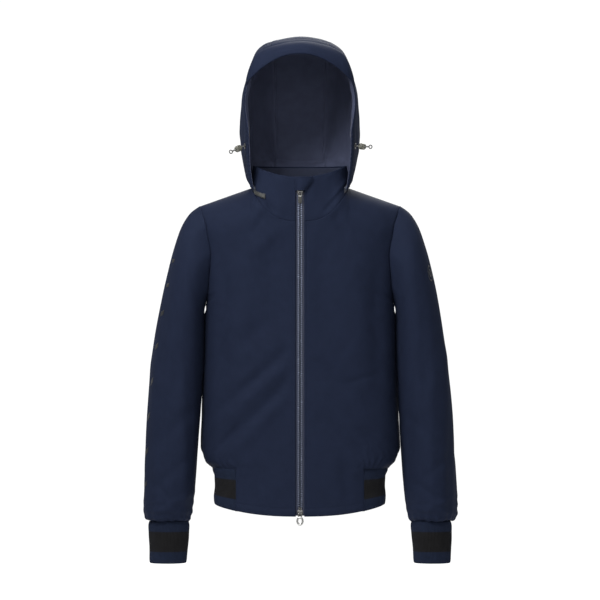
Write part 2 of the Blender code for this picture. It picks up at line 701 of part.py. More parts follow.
def make_front_zip(fabric, tape, teeth, metal):
    for way, label in ((1, "left"), (-1, "right")):
        tape_ends = (0.002, ZIP_LENGTH - 0.002)
        zip_box(f"zip_tape_{label}", (0.0012, TAPE_HALF), TAPE_IN, tape_ends, way, tape)
        chain = (CHAIN_MID, CHAIN_HALF)
        zip_box(f"zip_teeth_{label}", chain, CHAIN_IN, (CHAIN_START, CHAIN_END), way, teeth)
        stop_ends = (CHAIN_END + SEAM, CHAIN_END + SEAM + STOP_LENGTH)
        zip_box(f"zip_top_stop_{label}", chain, CHAIN_IN, stop_ends, way, metal)
        pin = "zip_insertion_pin" if way > 0 else "zip_retainer_pin"
        zip_box(pin, (CHAIN_MID, PIN_HALF), CHAIN_IN, (PIN_START, CHAIN_START - SEAM), way, metal)
    placket_ends = (PLACKET_ENDS[0], ZIP_LENGTH - PLACKET_ENDS[1])
    zip_box("storm_placket", (-PLACKET_HALF, PLACKET_HALF), PLACKET_IN, placket_ends, 1, fabric)
    moving = (
        ("top", TOP_SLIDER_S, flat_tab),
        ("bottom", BOTTOM_SLIDER_S, round_tab),
    )
    for label, s, tab in moving:
        body = joined(f"{label}_slider", slider_shapes(s), metal)
        pull = joined(f"{label}_slider_pull", pull_shapes(s, tab), metal)
        hinge = zip_frame(s) @ Vector((0, -HINGE_OUT, 0))
        hang_from(f"{label}_slider_path", zip_point(s), [body])
        hang_from(f"{label}_pull_hinge", hinge, [pull])
    sheet("chin_guard", chin_guard, even(10), even(4), GUARD_THICK, fabric)


# ---- hood ---------------------------------------------------------------------------------------
# The hood's middle line, y and z, from the brim seam over the crown to the nape.
CROWN = (
    (-0.0750, 0.3060), (-0.0400, 0.3170), (0.0000, 0.3195), (0.0450, 0.3120), (0.0880, 0.2860),
    (0.1200, 0.2400), (0.1360, 0.1850), (0.1380, 0.1300), (0.1240, 0.0820), (0.0830, 0.0420),
)
STRIP_HALF = (0.058, 0.050)  # half width of the middle panel, front and nape
STRIP_DROP = 0.009
SIDE_END = 0.925  # the share of the middle panel's length that a side panel follows
HOOD_NECK = (math.radians(64), math.radians(150))  # where a side panel meets the neck, front and back
HOOD_CLEAR = 0.0068
HOOD_RISE = 0.0110
BRIM_REACH = 0.043
TUNNEL_T = 0.040  # the cord tunnel lies just behind the front edge
TUNNEL_IN = 0.0055
EYELET_W = 0.768
BRIM = 0.0030  # the brim's thickness
HOOD_LINING_IN = 0.0085  # how far inside the shell the hood's lining hangs


def crown_line(t):
    place = min(max(t, 0.0), 1.0) * (len(CROWN) - 1)
    i = min(int(place), len(CROWN) - 2)
    f = place - i
    before = CROWN[max(i - 1, 0)]
    after = CROWN[min(i + 2, len(CROWN) - 1)]
    values = []
    for p0, p1, p2, p3 in zip(before, CROWN[i], CROWN[i + 1], after):
        curve = 2 * p1 + (p2 - p0) * f + (2 * p0 - 5 * p1 + 4 * p2 - p3) * f * f
        values.append((curve + (3 * p1 - p0 - 3 * p2 + p3) * f**3) / 2)
    return Vector((0, values[0], values[1]))


def strip_half(t):
    return STRIP_HALF[0] + (STRIP_HALF[1] - STRIP_HALF[0]) * t


def strip_point(share, t):
    """share runs across the middle panel, from -1 to 1."""
    t = min(max(t, 0.0), 1.0)
    along = crown_line(min(t + 0.01, 1.0)) - crown_line(max(t - 0.01, 0.0))
    outwards = Vector((1, 0, 0)).cross(along).normalized()
    if outwards.dot(crown_line(t) - Vector((0, 0.01, 0.15))) < 0:
        outwards = -outwards
    point = crown_line(t) - outwards * STRIP_DROP * share * share
    return point + Vector((share * strip_half(t), 0, 0))


def hood_foot(turn):
    point = collar_foot(turn)
    outwards = Vector((math.sin(turn), -math.cos(turn), 0))
    return point + outwards * HOOD_CLEAR + Vector((0, 0, HOOD_RISE))


def hood_side(t, w):
    """A point of the left side: t from front to back, w from the middle panel's edge down to the neck."""
    edge = strip_point(1.0, t * SIDE_END)
    turn = HOOD_NECK[0] + (HOOD_NECK[1] - HOOD_NECK[0]) * t
    foot = hood_foot(turn)
    reach = (edge - foot).length
    leave = (edge - strip_point(0.9, t * SIDE_END)).normalized()
    outwards = Vector((math.sin(turn), -math.cos(turn) * 0.4, 0))
    full = 0.72 + 0.28 * min(t / 0.35, 1.0)
    first = edge + leave * reach * 0.215 * full
    second = foot + (outwards * 0.115 * full + Vector((0, 0, 0.37))) * reach
    a, b, c, d = (1 - w) ** 3, 3 * w * (1 - w) ** 2, 3 * w * w * (1 - w), w**3
    return edge * a + first * b + second * c + foot * d


def side_surface(way):
    def surface(u, v):
        point = hood_side(u, 0.004 + v * 0.996)
        return Vector((way * point.x, point.y, point.z))
    return surface


def strip_surface(u, v):
    return strip_point((1 - 2 * u) * 0.994, v)


def front_edge(u):
    """The opening's upper edge, from the left side over the crown to the right."""
    side_share = 0.30
    if u < side_share:
        return hood_side(0.0, 0.36 * (1 - u / side_share))
    if u > 1 - side_share:
        point = hood_side(0.0, 0.36 * (1 - (1 - u) / side_share))
        return Vector((-point.x, point.y, point.z))
    return strip_point(1 - 2 * (u - side_share) / (1 - 2 * side_share), 0.0)


def brim_surface(u, v):
    reach = 0.005 + BRIM_REACH * math.sin(math.pi * u) ** 0.9
    forward = Vector((0, -0.95, -0.20 - 0.22 * v))
    return front_edge(u) + forward * (0.0012 + reach * v)


def hood_inset(u, v):
    """A side lining comes back to the shell towards the neck."""
    return HOOD_LINING_IN - 0.0055 * max((v - 0.6) / 0.4, 0.0)


def strip_inset(u, v):
    return HOOD_LINING_IN - 0.0050 * max((v - 0.85) / 0.15, 0.0)


def make_hood(fabric, lining):
    across, along = even(4), even(16)
    sheet("hood_middle_panel", strip_surface, across, along, SHELL, fabric, flip=True)
    sheet("hood_middle_lining", strip_surface, across, along, LINING, lining, inset=strip_inset, flip=True)
    sheet("hood_brim", brim_surface, even(18), even(3), BRIM, fabric, flip=True)
    for way, label in ((1, "left"), (-1, "right")):
        flip = way > 0
        side = side_surface(way)
        sheet(f"hood_side_{label}", side, even(10), even(10), SHELL, fabric, flip=flip)
        sheet(f"hood_lining_{label}", side, even(10), even(10), LINING, lining, inset=hood_inset, flip=flip)


# ---- drawcord, eyelets and cord locks -----------------------------------------------------------
CORD_R = 0.0015
CORD_GAP = 0.0003
EYELET_T = 0.075  # place of the eyelet on the hood's side, back from the front edge
EYELET_OUTER, EYELET_INNER, EYELET_THICK = 0.0060, 0.0034, 0.0012
EYELET_OUT = 0.0010  # the eyelet stands this far out of the hood
EYELET_HOLE = 0.0046
BEHIND_EYELET = 0.0030  # where a tail starts, inside the hood
TAIL_LENGTH = 0.031
TAIL_POINTS = 12
TAIL_WAY = {"left": Vector((0.86, -0.50, -0.06)), "right": Vector((-0.74, -0.50, -0.34))}
LOCK_ALONG = 0.0160  # the lock's middle, along the tail from the eyelet
LOCK_R = 0.0064
LOCK_ENDS = (-0.0083, 0.0060)
LOCK_FLOOR = -0.0070
PLUNGER_R = 0.0041
PLUNGER_ENDS = (-0.0026, 0.0086)
SLOT_ENDS = (-0.0012, 0.0056)  # the plunger's slot for the cord
BORE_R = 0.0045
CORD_HOLE_R = 0.0021
CORD_HOLE_Z = 0.0012
SPRING_R, SPRING_WIRE = 0.0032, 0.0003
SPRING_FOOT, SPRING_HEIGHT = 0.0004, 0.0015
SPRING_TURNS, SPRING_STEPS = 2, 10
LOOP_OUTER, LOOP_INNER, LOOP_HALF_THICK = 0.0044, 0.0024, 0.0011


def eyelet_frame(way):
    """On the hood's side, Z out of the fabric: the frame, its origin and its Z."""
    place = hood_side(EYELET_T, EYELET_W)
    outwards = normal_at(side_surface(1), EYELET_T, EYELET_W)
    if outwards.x < 0:
        outwards = -outwards
    place.x *= way
    outwards.x *= way
    turn = outwards.to_track_quat("Z", "Y").to_matrix().to_4x4()
    return Matrix.Translation(place) @ turn, place, outwards


def tail_points(label, way):
    """Out of the eyelet, then along the lock's direction: one smooth curve."""
    _, place, outwards = eyelet_frame(way)
    direction = TAIL_WAY[label].normalized()
    step = (TAIL_LENGTH + BEHIND_EYELET) / TAIL_POINTS
    points = []
    point = place - outwards * BEHIND_EYELET
    for i in range(TAIL_POINTS + 1):
        points.append(point.copy())
        turned = min(i / 3.0, 1.0)
        point = point + outwards.lerp(direction, turned).normalized() * step
    return points


def lock_frame(points):
    """Z along the plunger and X along the cord, and the cord's direction."""
    direction = (points[-1] - points[-2]).normalized()
    middle = points[-1] - direction * (TAIL_LENGTH - LOCK_ALONG)
    front = Vector((0, -1, 0))
    axis = (front - direction * direction.dot(front)).normalized()
    turn = Matrix((direction, axis.cross(direction), axis)).transposed().to_4x4()
    return Matrix.Translation(middle - axis * CORD_HOLE_Z) @ turn, middle, direction


def drawcord_points():
    """In the tunnel behind the hood's front edge, from eyelet to eyelet."""
    left = []
    surface = side_surface(1)
    count = 22
    for i in range(count + 1):
        w = (EYELET_W - 0.108) * (1 - i / count) + 0.02
        normal = normal_at(surface, TUNNEL_T, w)
        if normal.x < 0:
            normal = -normal
        left.append(hood_side(TUNNEL_T, w) - normal * TUNNEL_IN)
    middle = []
    for i in range(1, 12):
        share = 1 - i / 6
        normal = Vector((0.31 * share, -0.25, 1)).normalized()
        middle.append(strip_point(share, TUNNEL_T * SIDE_END) - normal * TUNNEL_IN)
    right = [Vector((-p.x, p.y, p.z)) for p in reversed(left)]
    return left + middle + right


def make_eyelet(label, frame, side, metal):
    cutter = solid(f"eyelet_hole_{label}", tube_mesh(EYELET_HOLE, -0.006, 0.006, frame, 12), metal)
    cutter.hide_render = True
    cutter.display_type = "WIRE"
    modifier = side.modifiers.new("eyelet hole", "BOOLEAN")
    modifier.operation = "DIFFERENCE"
    modifier.object = cutter
    ring = ring_mesh(EYELET_OUTER, EYELET_INNER, EYELET_OUT, EYELET_OUT + EYELET_THICK, frame, 14)
    solid(f"eyelet_{label}", ring, metal)


def make_lock(label, lock, middle, plastic, metal):
    """Barrel, plunger and spring; the cord runs through both where their holes line up."""
    across = lock @ Matrix.Translation((0, 0, CORD_HOLE_Z)) @ Matrix.Rotation(math.pi / 2, 4, "Y")
    bore = tube_mesh(BORE_R, LOCK_FLOOR, 0.0100, lock, 14)
    cord_hole = tube_mesh(CORD_HOLE_R, -0.01, 0.01, across, 10)
    body = tube_mesh(LOCK_R, *LOCK_ENDS, lock, 18)
    barrel = joined(f"cord_lock_barrel_{label}", [body], plastic, [bore, cord_hole])
    slot = box_mesh((-0.006, -CORD_HOLE_R, SLOT_ENDS[0]), (0.006, CORD_HOLE_R, SLOT_ENDS[1]), lock)
    stem = tube_mesh(PLUNGER_R, *PLUNGER_ENDS, lock, 14)
    plunger = joined(f"cord_lock_plunger_{label}", [stem], plastic, [slot])
    coil = []
    for i in range(SPRING_TURNS * SPRING_STEPS + 1):
        angle = 2 * math.pi * i / SPRING_STEPS
        height = LOCK_FLOOR + SPRING_FOOT + SPRING_HEIGHT * i / (SPRING_TURNS * SPRING_STEPS)
        coil.append(lock @ Vector((SPRING_R * math.cos(angle), SPRING_R * math.sin(angle), height)))
    spring = cord(f"cord_lock_spring_{label}", coil, SPRING_WIRE, metal)
    spring.data.bevel_resolution = 1
    hang_from(f"cord_lock_{label}_path", middle, [barrel, spring])
    hang_from(f"cord_plunger_{label}_path", middle, [plunger])


def make_cords(cord_cloth, plastic, metal):
    cord("hood_drawcord", drawcord_points(), CORD_R, cord_cloth)
    for way, label in ((1, "left"), (-1, "right")):
        frame, _, _ = eyelet_frame(way)
        make_eyelet(label, frame, bpy.data.objects[f"hood_side_{label}"], metal)
        points = tail_points(label, way)
        cord(f"cord_tail_{label}", points, CORD_R, cord_cloth)
        lock, middle, direction = lock_frame(points)
        make_lock(label, lock, middle, plastic, metal)
        end = lock.copy()
        end.translation = points[-1] + direction * (LOOP_OUTER + CORD_GAP)
        loop = ring_mesh(LOOP_OUTER, LOOP_INNER, -LOOP_HALF_THICK, LOOP_HALF_THICK, end, 14)
        solid(f"cord_end_{label}", loop, cord_cloth)


clear_scene()
FABRIC = finish("softshell", (0.020, 0.028, 0.055), 0.75)
LINING_CLOTH = finish("lining", (0.014, 0.017, 0.032), 0.8)
KNIT = finish("rib_knit", (0.017, 0.020, 0.036), 0.9)
WEBBING = finish("webbing", (0.015, 0.020, 0.036), 0.8)
TAPE = finish("zip_tape", (0.060, 0.075, 0.125), 0.7)
TEETH = finish("zip_teeth", (0.20, 0.22, 0.26), 0.4)
METAL = finish("zip_metal", (0.55, 0.55, 0.53), 0.3, 1.0)
CORD_CLOTH = finish("cord", (0.05, 0.055, 0.055), 0.8)
PLASTIC = finish("lock_plastic", (0.22, 0.22, 0.17), 0.45)
make_body(FABRIC, LINING_CLOTH, KNIT)
make_sleeves(FABRIC, LINING_CLOTH, KNIT)
make_collar(FABRIC, LINING_CLOTH, WEBBING)
make_front_zip(FABRIC, TAPE, TEETH, METAL)
make_hood(FABRIC, LINING_CLOTH)
make_cords(CORD_CLOTH, PLASTIC, METAL)
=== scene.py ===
"""Looks of the hooded foul weather jacket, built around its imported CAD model. Metres, front towards -Y."""
import math

import bmesh
import bpy
import numpy as np
from mathutils import Matrix, Vector


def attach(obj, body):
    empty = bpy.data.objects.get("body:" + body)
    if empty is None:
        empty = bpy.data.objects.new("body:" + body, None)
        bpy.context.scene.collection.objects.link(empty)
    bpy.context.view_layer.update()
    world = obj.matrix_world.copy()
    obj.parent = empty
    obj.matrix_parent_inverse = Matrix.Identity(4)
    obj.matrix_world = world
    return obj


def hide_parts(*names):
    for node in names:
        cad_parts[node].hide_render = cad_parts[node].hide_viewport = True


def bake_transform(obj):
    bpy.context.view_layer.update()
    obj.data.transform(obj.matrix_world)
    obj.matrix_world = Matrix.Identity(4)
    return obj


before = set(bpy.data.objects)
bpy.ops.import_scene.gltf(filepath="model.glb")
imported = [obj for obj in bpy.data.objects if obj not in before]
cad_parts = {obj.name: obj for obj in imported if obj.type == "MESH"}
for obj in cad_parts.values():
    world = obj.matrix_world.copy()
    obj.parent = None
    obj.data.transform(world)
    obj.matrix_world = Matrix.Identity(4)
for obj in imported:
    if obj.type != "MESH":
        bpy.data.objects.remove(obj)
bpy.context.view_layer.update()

SIDES = ((1, "left"), (-1, "right"))  # the way along X, and the wearer's side
scene = bpy.context.scene
scene.view_settings.view_transform = "Standard"
scene.view_settings.look = "None"


# ---- camera ----
CAMERA_AWAY = 10.0
CAMERA_HEIGHT = -0.206
VIEW_WIDTH = 1.2  # what the camera takes in at the object
camera_data = bpy.data.cameras.new("camera")
camera_data.sensor_width = 36
camera_data.lens = 36 * CAMERA_AWAY / VIEW_WIDTH
camera = bpy.data.objects.new("camera", camera_data)
camera.location = (0, -CAMERA_AWAY, CAMERA_HEIGHT)
camera.rotation_euler = (math.pi / 2, 0, 0)
scene.collection.objects.link(camera)
scene.camera = camera


# ---- the jacket's surfaces, as in the CAD model ----
HEM_Z = -0.634
SIDE_HEM_Z = -0.612
RIB_TOP_Z = -0.5406
HEM_HALF = 0.172
HEM_RISE_POWER = 2.5
RIB_FRONT_X = 0.1275
RIB_UNDER = 0.0030
SEAM = 0.00015
SHELL_THICK = 0.0016  # of the visible cloths
HOOD_THICK = 0.0015
LINING_THICK = 0.0010
HOOD_LINING_THICK = 0.0009
LINED = Vector((0.965, 0.945, 1.0))
LINING_DROP = 0.006
SECTION_POWER = 2.8
SIDE_SEAM_ANGLE = math.radians(89.9)
LINING_HEM_Z = -0.522
NECK_HALF = 0.098
NECK_SIDE_Z = 0.018
NECK_FRONT_Z = -0.050
NECK_BACK_Z = 0.028
SHOULDER_X = 0.200
SHOULDER_Z = -0.018
ARMPIT_Z = -0.215
SHOULDER_ROUND = 0.085
COLLAR_FRONT_Z = 0.038
COLLAR_SIDE_Z = 0.062
COLLAR_TOP_HALF = 0.094
ZIP_FOOT = Vector((0, -0.118, HEM_Z))
ZIP_HEAD = Vector((0, -0.085, COLLAR_FRONT_Z))
ZIP_GAP_HALF = 0.0085
TAPE_HALF = 0.018
TOP_SLIDER_S = 0.6428
BOTTOM_SLIDER_S = 0.0065
CUFF_TOP_Z = -0.6475
CUFF_Z = -0.730
CUFF_HALF_DEPTH = 0.041


def station(value, table):
    """Smooth value between the stations (place, value), which rise in place."""
    if value <= table[0][0]:
        return table[0][1]
    for (p0, v0), (p1, v1) in zip(table, table[1:]):
        if value <= p1:
            t = (value - p0) / (p1 - p0)
            t = t * t * (3 - 2 * t) * 0.5 + t * 0.5
            return v0 + (v1 - v0) * t
    return table[-1][1]


def half_width(z):
    return station(z, (
        (-0.634, 0.171), (-0.556, 0.1715), (-0.541, 0.178), (-0.526, 0.1885), (-0.500, 0.1945),
        (-0.400, 0.1915), (-0.220, 0.1875), (-0.120, 0.1930), (SHOULDER_Z, 0.2050),
    ))


def zip_point(s):
    return ZIP_FOOT + (ZIP_HEAD - ZIP_FOOT).normalized() * s


def front_depth(z):
    share = (z - ZIP_FOOT.z) / (ZIP_HEAD.z - ZIP_FOOT.z)
    return -(ZIP_FOOT.y + (ZIP_HEAD.y - ZIP_FOOT.y) * share)


def back_depth(z):
    return station(z, (
        (-0.634, 0.104), (-0.556, 0.105), (-0.530, 0.124), (-0.420, 0.126),
        (-0.250, 0.128), (-0.120, 0.120), (-0.030, 0.098), (0.030, 0.074),
    ))


def ridge_z(x):
    slope = (NECK_SIDE_Z - SHOULDER_Z) / (SHOULDER_X - NECK_HALF)
    return NECK_SIDE_Z + (NECK_HALF - abs(x)) * (slope if abs(x) > NECK_HALF else 1.3)


def body_y(x, z, side):
    """How far front (side -1) or back (side 1) the body reaches at x, z."""
    depth = front_depth(z) if side < 0 else back_depth(z)
    ratio = min(abs(x) / half_width(z), 1.0)
    section = max(1 - ratio**SECTION_POWER, 0.0) ** (1 / SECTION_POWER)
    below = min(max((ridge_z(x) - z) / SHOULDER_ROUND, 0.0), 1.0)
    return side * depth * section * math.sqrt(1 - (1 - below) ** 2.2)


def armhole_x(z):
    if z <= ARMPIT_Z:
        return half_width(z)
    return station(z, (
        (ARMPIT_Z, half_width(ARMPIT_Z)), (-0.175, 0.1815), (-0.115, 0.1775),
        (-0.060, 0.1870), (-0.030, 0.1965), (SHOULDER_Z, SHOULDER_X),
    ))


def neck_z(x, side):
    if abs(x) >= NECK_HALF:
        return ridge_z(x)
    middle = NECK_FRONT_Z if side < 0 else NECK_BACK_Z
    return middle + (NECK_SIDE_Z - middle) * (abs(x) / NECK_HALF) ** 2.8


def hem_z(x):
    return HEM_Z + (SIDE_HEM_Z - HEM_Z) * (abs(x) / HEM_HALF) ** HEM_RISE_POWER


def body_panel(side, start, way, foot=RIB_TOP_Z, seam=SEAM * 0.7):
    """surface(u, v) of a body panel; v runs from -1 to 0 down the front between the hem ribs."""
    def flat_place(u, v):
        edge_z = RIB_TOP_Z + max(v, 0.0) * (SHOULDER_Z - RIB_TOP_Z)
        edge = armhole_x(edge_z) - (SEAM if edge_z > ARMPIT_Z else 0.0)
        most = min(edge / half_width(edge_z), 1.0) ** (SECTION_POWER / 2)
        angle = u * min(math.asin(most), SIDE_SEAM_ANGLE)
        low = math.sin(angle) ** (2 / SECTION_POWER) * half_width(edge_z) / edge
        x = start + (edge - start) * (low + (u - low) * max(v, 0.0) ** 3)
        if v < 0:
            return x, foot + v * (foot - hem_z(x)), edge_z
        z = foot + v * (neck_z(start + (SHOULDER_X - start) * u, side) - SEAM - foot)
        return x, z, edge_z

    def surface(u, v):
        x, z, edge_z = flat_place(abs(u), v)
        y = body_y(x, z, side)
        edge_x, seam_z, _ = flat_place(1.0, v)
        astray = body_y(edge_x, seam_z, side) - side * seam
        below_armpit = min(max((ARMPIT_Z + 0.02 - edge_z) / 0.02, 0.0), 1.0)
        y -= astray * abs(u) ** 12 * below_armpit
        if x > NECK_HALF:
            ridge = body_y(x, ridge_z(x) - SEAM, side) - side * seam
            y -= ridge * max(v, 0.0) ** 60
        return Vector((way * math.copysign(x, u), y, z))
    return surface


def column_at(x, start):
    low = (x - start) / (half_width(RIB_TOP_Z) - start)
    return math.asin(low ** (SECTION_POWER / 2)) / SIDE_SEAM_ANGLE


def drawn_in(surface):
    def inner(u, v):
        point = surface(u, v)
        return Vector((point.x * LINED.x, point.y * LINED.y, point.z - LINING_DROP * max(v, 0.0)**4))
    return inner


def rib_surface(u, v):
    """Round the back from one front end of the hem rib to the other, both under the fronts' edges."""
    z = SIDE_HEM_Z + v * (RIB_TOP_Z - SEAM - SIDE_HEM_Z)
    half = half_width(z)
    end = math.asin(((RIB_FRONT_X - RIB_UNDER) / half) ** (SECTION_POWER / 2))
    turn = (math.pi - end) * (2 * u - 1)
    x = half * math.copysign(abs(math.sin(turn)) ** (2 / SECTION_POWER), turn)
    side = 1 if math.cos(turn) > 0 else -1
    y = body_y(x, z, side)
    if side < 0 and abs(x) < HEM_HALF:
        z += (1 - v) * (hem_z(x) - SIDE_HEM_Z)
    return Vector((x, y, z))


# Down the arm: the outer line x, z, the inner line x, z, and the half depth.
SLEEVE = (
    (0.2006, -0.018, 0.1890, -0.2155, 0.056),
    (0.2210, -0.034, 0.1915, -0.2240, 0.064),
    (0.2380, -0.062, 0.1920, -0.2400, 0.070),
    (0.2515, -0.100, 0.1922, -0.2620, 0.073),
    (0.2640, -0.150, 0.1925, -0.2900, 0.073),
    (0.2760, -0.206, 0.1930, -0.3250, 0.072),
    (0.2880, -0.275, 0.1945, -0.3650, 0.070),
    (0.2980, -0.350, 0.1965, -0.4150, 0.068),
    (0.3050, -0.425, 0.2000, -0.4650, 0.066),
    (0.3090, -0.500, 0.2035, -0.5150, 0.064),
    (0.3120, -0.570, 0.2080, -0.5750, 0.062),
    (0.3135, -0.618, 0.2135, -0.6200, 0.058),
    (0.3105, -0.640, 0.2180, -0.6400, 0.050),
    (0.3030, -0.6468, 0.2210, -0.6468, 0.0415),
)
SLEEVE_FORWARD = 0.012
ARMHOLE_FADE = 0.22


def on_curve(table, place):
    """Values on a smooth curve through the table's rows, place from 0 to 1."""
    place = min(max(place, 0.0), 1.0) * (len(table) - 1)
    i = min(int(place), len(table) - 2)
    t = place - i
    before = table[max(i - 1, 0)]
    after = table[min(i + 2, len(table) - 1)]
    values = []
    for p0, p1, p2, p3 in zip(before, table[i], table[i + 1], after):
        curve = 2 * p1 + (p2 - p0) * t + (2 * p0 - 5 * p1 + 4 * p2 - p3) * t * t
        values.append((curve + (3 * p1 - p0 - 3 * p2 + p3) * t**3) / 2)
    return values


def sleeve_station(v):
    values = on_curve(SLEEVE, v)
    forward = -SLEEVE_FORWARD * v
    return Vector((values[0], forward, values[1])), Vector((values[2], forward, values[3])), values[4]


def sleeve_oval(u, v):
    outer, inner, depth = sleeve_station(v)
    turn = 2 * math.pi * u
    middle = (outer + inner) / 2
    return middle + (outer - inner) / 2 * math.cos(turn) + Vector((0, depth * math.sin(turn), 0))


def armhole(u):
    turn = 2 * math.pi * u
    z = (SHOULDER_Z + ARMPIT_Z) / 2 + (SHOULDER_Z - ARMPIT_Z) / 2 * math.cos(turn)
    x = armhole_x(z)
    side = 1 if math.sin(turn) >= 0 else -1
    return Vector((x + SEAM, body_y(x, z, side), z))


def sleeve_surface(way, shrink=1.0):
    def surface(u, v):
        point = sleeve_oval(u, v)
        fade = min(v / ARMHOLE_FADE, 1.0)
        fade = fade * fade * (3 - 2 * fade)
        point += (armhole(u) - sleeve_oval(u, 0.0)) * (1 - fade)
        outer, inner, _ = sleeve_station(v)
        middle = (outer + inner) / 2
        point = middle + (point - middle) * shrink
        return Vector((way * point.x, point.y, point.z))
    return surface


def cuff_surface(way):
    def surface(u, v):
        turn = 2 * math.pi * u
        outer = 0.3020 - 0.0010 * v
        inner = 0.2215 + 0.0050 * v
        x = (outer + inner) / 2 + (outer - inner) / 2 * math.cos(turn)
        y = CUFF_HALF_DEPTH * math.sin(turn) - SLEEVE_FORWARD
        return Vector((way * x, y, CUFF_TOP_Z + v * (CUFF_Z - CUFF_TOP_Z)))
    return surface


def collar_turn(u, start_x):
    start = math.asin(start_x / NECK_HALF)
    return start + u * (2 * math.pi - 2 * start)


def collar_foot(turn):
    x = NECK_HALF * math.sin(turn)
    side = -1 if math.cos(turn) > 0 else 1
    z = neck_z(x, side)
    return Vector((x, body_y(x, z, side), z + 3 * SEAM))


def collar_top(turn):
    front = math.cos(turn) > 0
    reach = ZIP_HEAD.y if front else 0.070
    z = COLLAR_SIDE_Z
    if front:
        z = COLLAR_FRONT_Z + (COLLAR_SIDE_Z - COLLAR_FRONT_Z) * math.sin(turn) ** 2
    return Vector((COLLAR_TOP_HALF * math.sin(turn), reach * abs(math.cos(turn)) ** 0.8, z))


def collar_surface(start_x, across=1.0, along=1.0, drop=0.0):
    def surface(u, v):
        turn = collar_turn(u, start_x)
        point = collar_foot(turn).lerp(collar_top(turn), v)
        return Vector((point.x * across, point.y * along, point.z - drop * v))
    return surface


CROWN = (
    (-0.0750, 0.3060), (-0.0400, 0.3170), (0.0000, 0.3195), (0.0450, 0.3120), (0.0880, 0.2860),
    (0.1200, 0.2400), (0.1360, 0.1850), (0.1380, 0.1300), (0.1240, 0.0820), (0.0830, 0.0420),
)
STRIP_HALF = (0.058, 0.050)
STRIP_DROP = 0.009
SIDE_END = 0.925
HOOD_NECK = (math.radians(64), math.radians(150))
HOOD_CLEAR = 0.0068
HOOD_RISE = 0.0110
OPENING_SPREAD = 0.0120
BRIM_REACH = 0.040
BRIM_HALF = 0.1075
BRIM_MIDDLE_Z = 0.282
BRIM_DROOP = 0.058
BRIM_ARC = 2.1
BRIM_CROWN = 0.010
BRIM_DOWN = 0.40
TUNNEL_T = 0.040
TUNNEL_IN = 0.0055
EYELET_T = 0.075
EYELET_W = 0.768


def crown_line(t):
    return Vector((0, *on_curve(CROWN, t)))


def strip_half(t):
    return STRIP_HALF[0] + (STRIP_HALF[1] - STRIP_HALF[0]) * t


def strip_point(share, t):
    t = min(max(t, 0.0), 1.0)
    along = crown_line(min(t + 0.01, 1.0)) - crown_line(max(t - 0.01, 0.0))
    outwards = Vector((1, 0, 0)).cross(along).normalized()
    if outwards.dot(crown_line(t) - Vector((0, 0.01, 0.15))) < 0:
        outwards = -outwards
    point = crown_line(t) - outwards * STRIP_DROP * share * share
    return point + Vector((share * strip_half(t), 0, 0))


def rise(value, low, high):
    t = min(max((value - low) / (high - low), 0.0), 1.0)
    return t * t * (3 - 2 * t)


def hood_foot(turn):
    outwards = Vector((math.sin(turn), -math.cos(turn), 0))
    return collar_foot(turn) + outwards * HOOD_CLEAR + Vector((0, 0, HOOD_RISE))


def hood_side(t, w):
    """A point of the left side: t from front to back, w from the middle panel's edge down to the neck."""
    edge = strip_point(1.0, t * SIDE_END)
    turn = HOOD_NECK[0] + (HOOD_NECK[1] - HOOD_NECK[0]) * t
    foot = hood_foot(turn)
    reach = (edge - foot).length
    leave = (edge - strip_point(0.9, t * SIDE_END)).normalized()
    outwards = Vector((math.sin(turn), -math.cos(turn) * 0.4, 0))
    full = 0.72 + 0.28 * min(t / 0.35, 1.0)
    first = edge + leave * reach * 0.215 * full
    second = foot + (outwards * 0.115 * full + Vector((0, 0, 0.37))) * reach
    a, b, c, d = (1 - w) ** 3, 3 * w * (1 - w) ** 2, 3 * w * w * (1 - w), w**3
    spread = OPENING_SPREAD * max(1 - t / 0.45, 0.0) ** 2 * rise(w, 0.0, 0.18) * (1 - rise(w, 0.48, 0.70))
    return edge * a + first * b + second * c + foot * d + Vector((spread, 0, 0))


def side_surface(way):
    def surface(u, v):
        point = hood_side(u, 0.004 + v * 0.996)
        return Vector((way * point.x, point.y, point.z))
    return surface


def strip_surface(u, v):
    return strip_point((1 - 2 * u) * 0.994, v)


def front_edge(u):
    """The opening's upper edge, from the left side over the crown to the right."""
    side_share = 0.30
    if u < side_share:
        return hood_side(0.0, BRIM_DOWN * (1 - u / side_share))
    if u > 1 - side_share:
        point = hood_side(0.0, BRIM_DOWN * (1 - (1 - u) / side_share))
        return Vector((-point.x, point.y, point.z))
    return strip_point(1 - 2 * (u - side_share) / (1 - 2 * side_share), 0.0)


def brim_edge(u):
    """The peak's free edge: a drooping arc from one side of the opening to the other."""
    x = BRIM_HALF * math.copysign(abs(math.cos(math.pi * u)) ** 0.9, 0.5 - u)
    share = abs(x) / BRIM_HALF
    seam = front_edge(u)
    y = seam.y - 0.0045 - BRIM_REACH * math.sin(math.pi * u) ** 0.9
    return Vector((x, y, BRIM_MIDDLE_Z - BRIM_DROOP * share ** BRIM_ARC))


def brim_surface(u, v):
    seam = front_edge(u) + Vector((0, -0.0012, 0))
    edge = brim_edge(u)
    crown = Vector((0.35 * math.cos(math.pi * u), -0.55, 0.75)) * BRIM_CROWN * math.sin(math.pi * u) ** 0.7
    return seam.lerp(edge, v) + crown * 4 * v * (1 - v)


def zip_frame(s=0.0):
    """At s along the zip: X across, Y inwards, Z up the zip."""
    up = (ZIP_HEAD - ZIP_FOOT).normalized()
    inwards = up.cross(Vector((1, 0, 0)))
    axes = Matrix((Vector((1, 0, 0)), inwards, up)).transposed()
    return Matrix.Translation(zip_point(s)) @ axes.to_4x4()


def settle(obj, moves, slot, *nodes):
    """moves is a body's name, which the piece is parented to, or hood~ or sleeve_left~ for cloth that runs
    from the torso into it, whose transform is only baked into its mesh.
    """
    if moves.endswith("~"):
        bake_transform(obj)
    else:
        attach(obj, moves)
    if nodes:
        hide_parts(*nodes)
    return obj


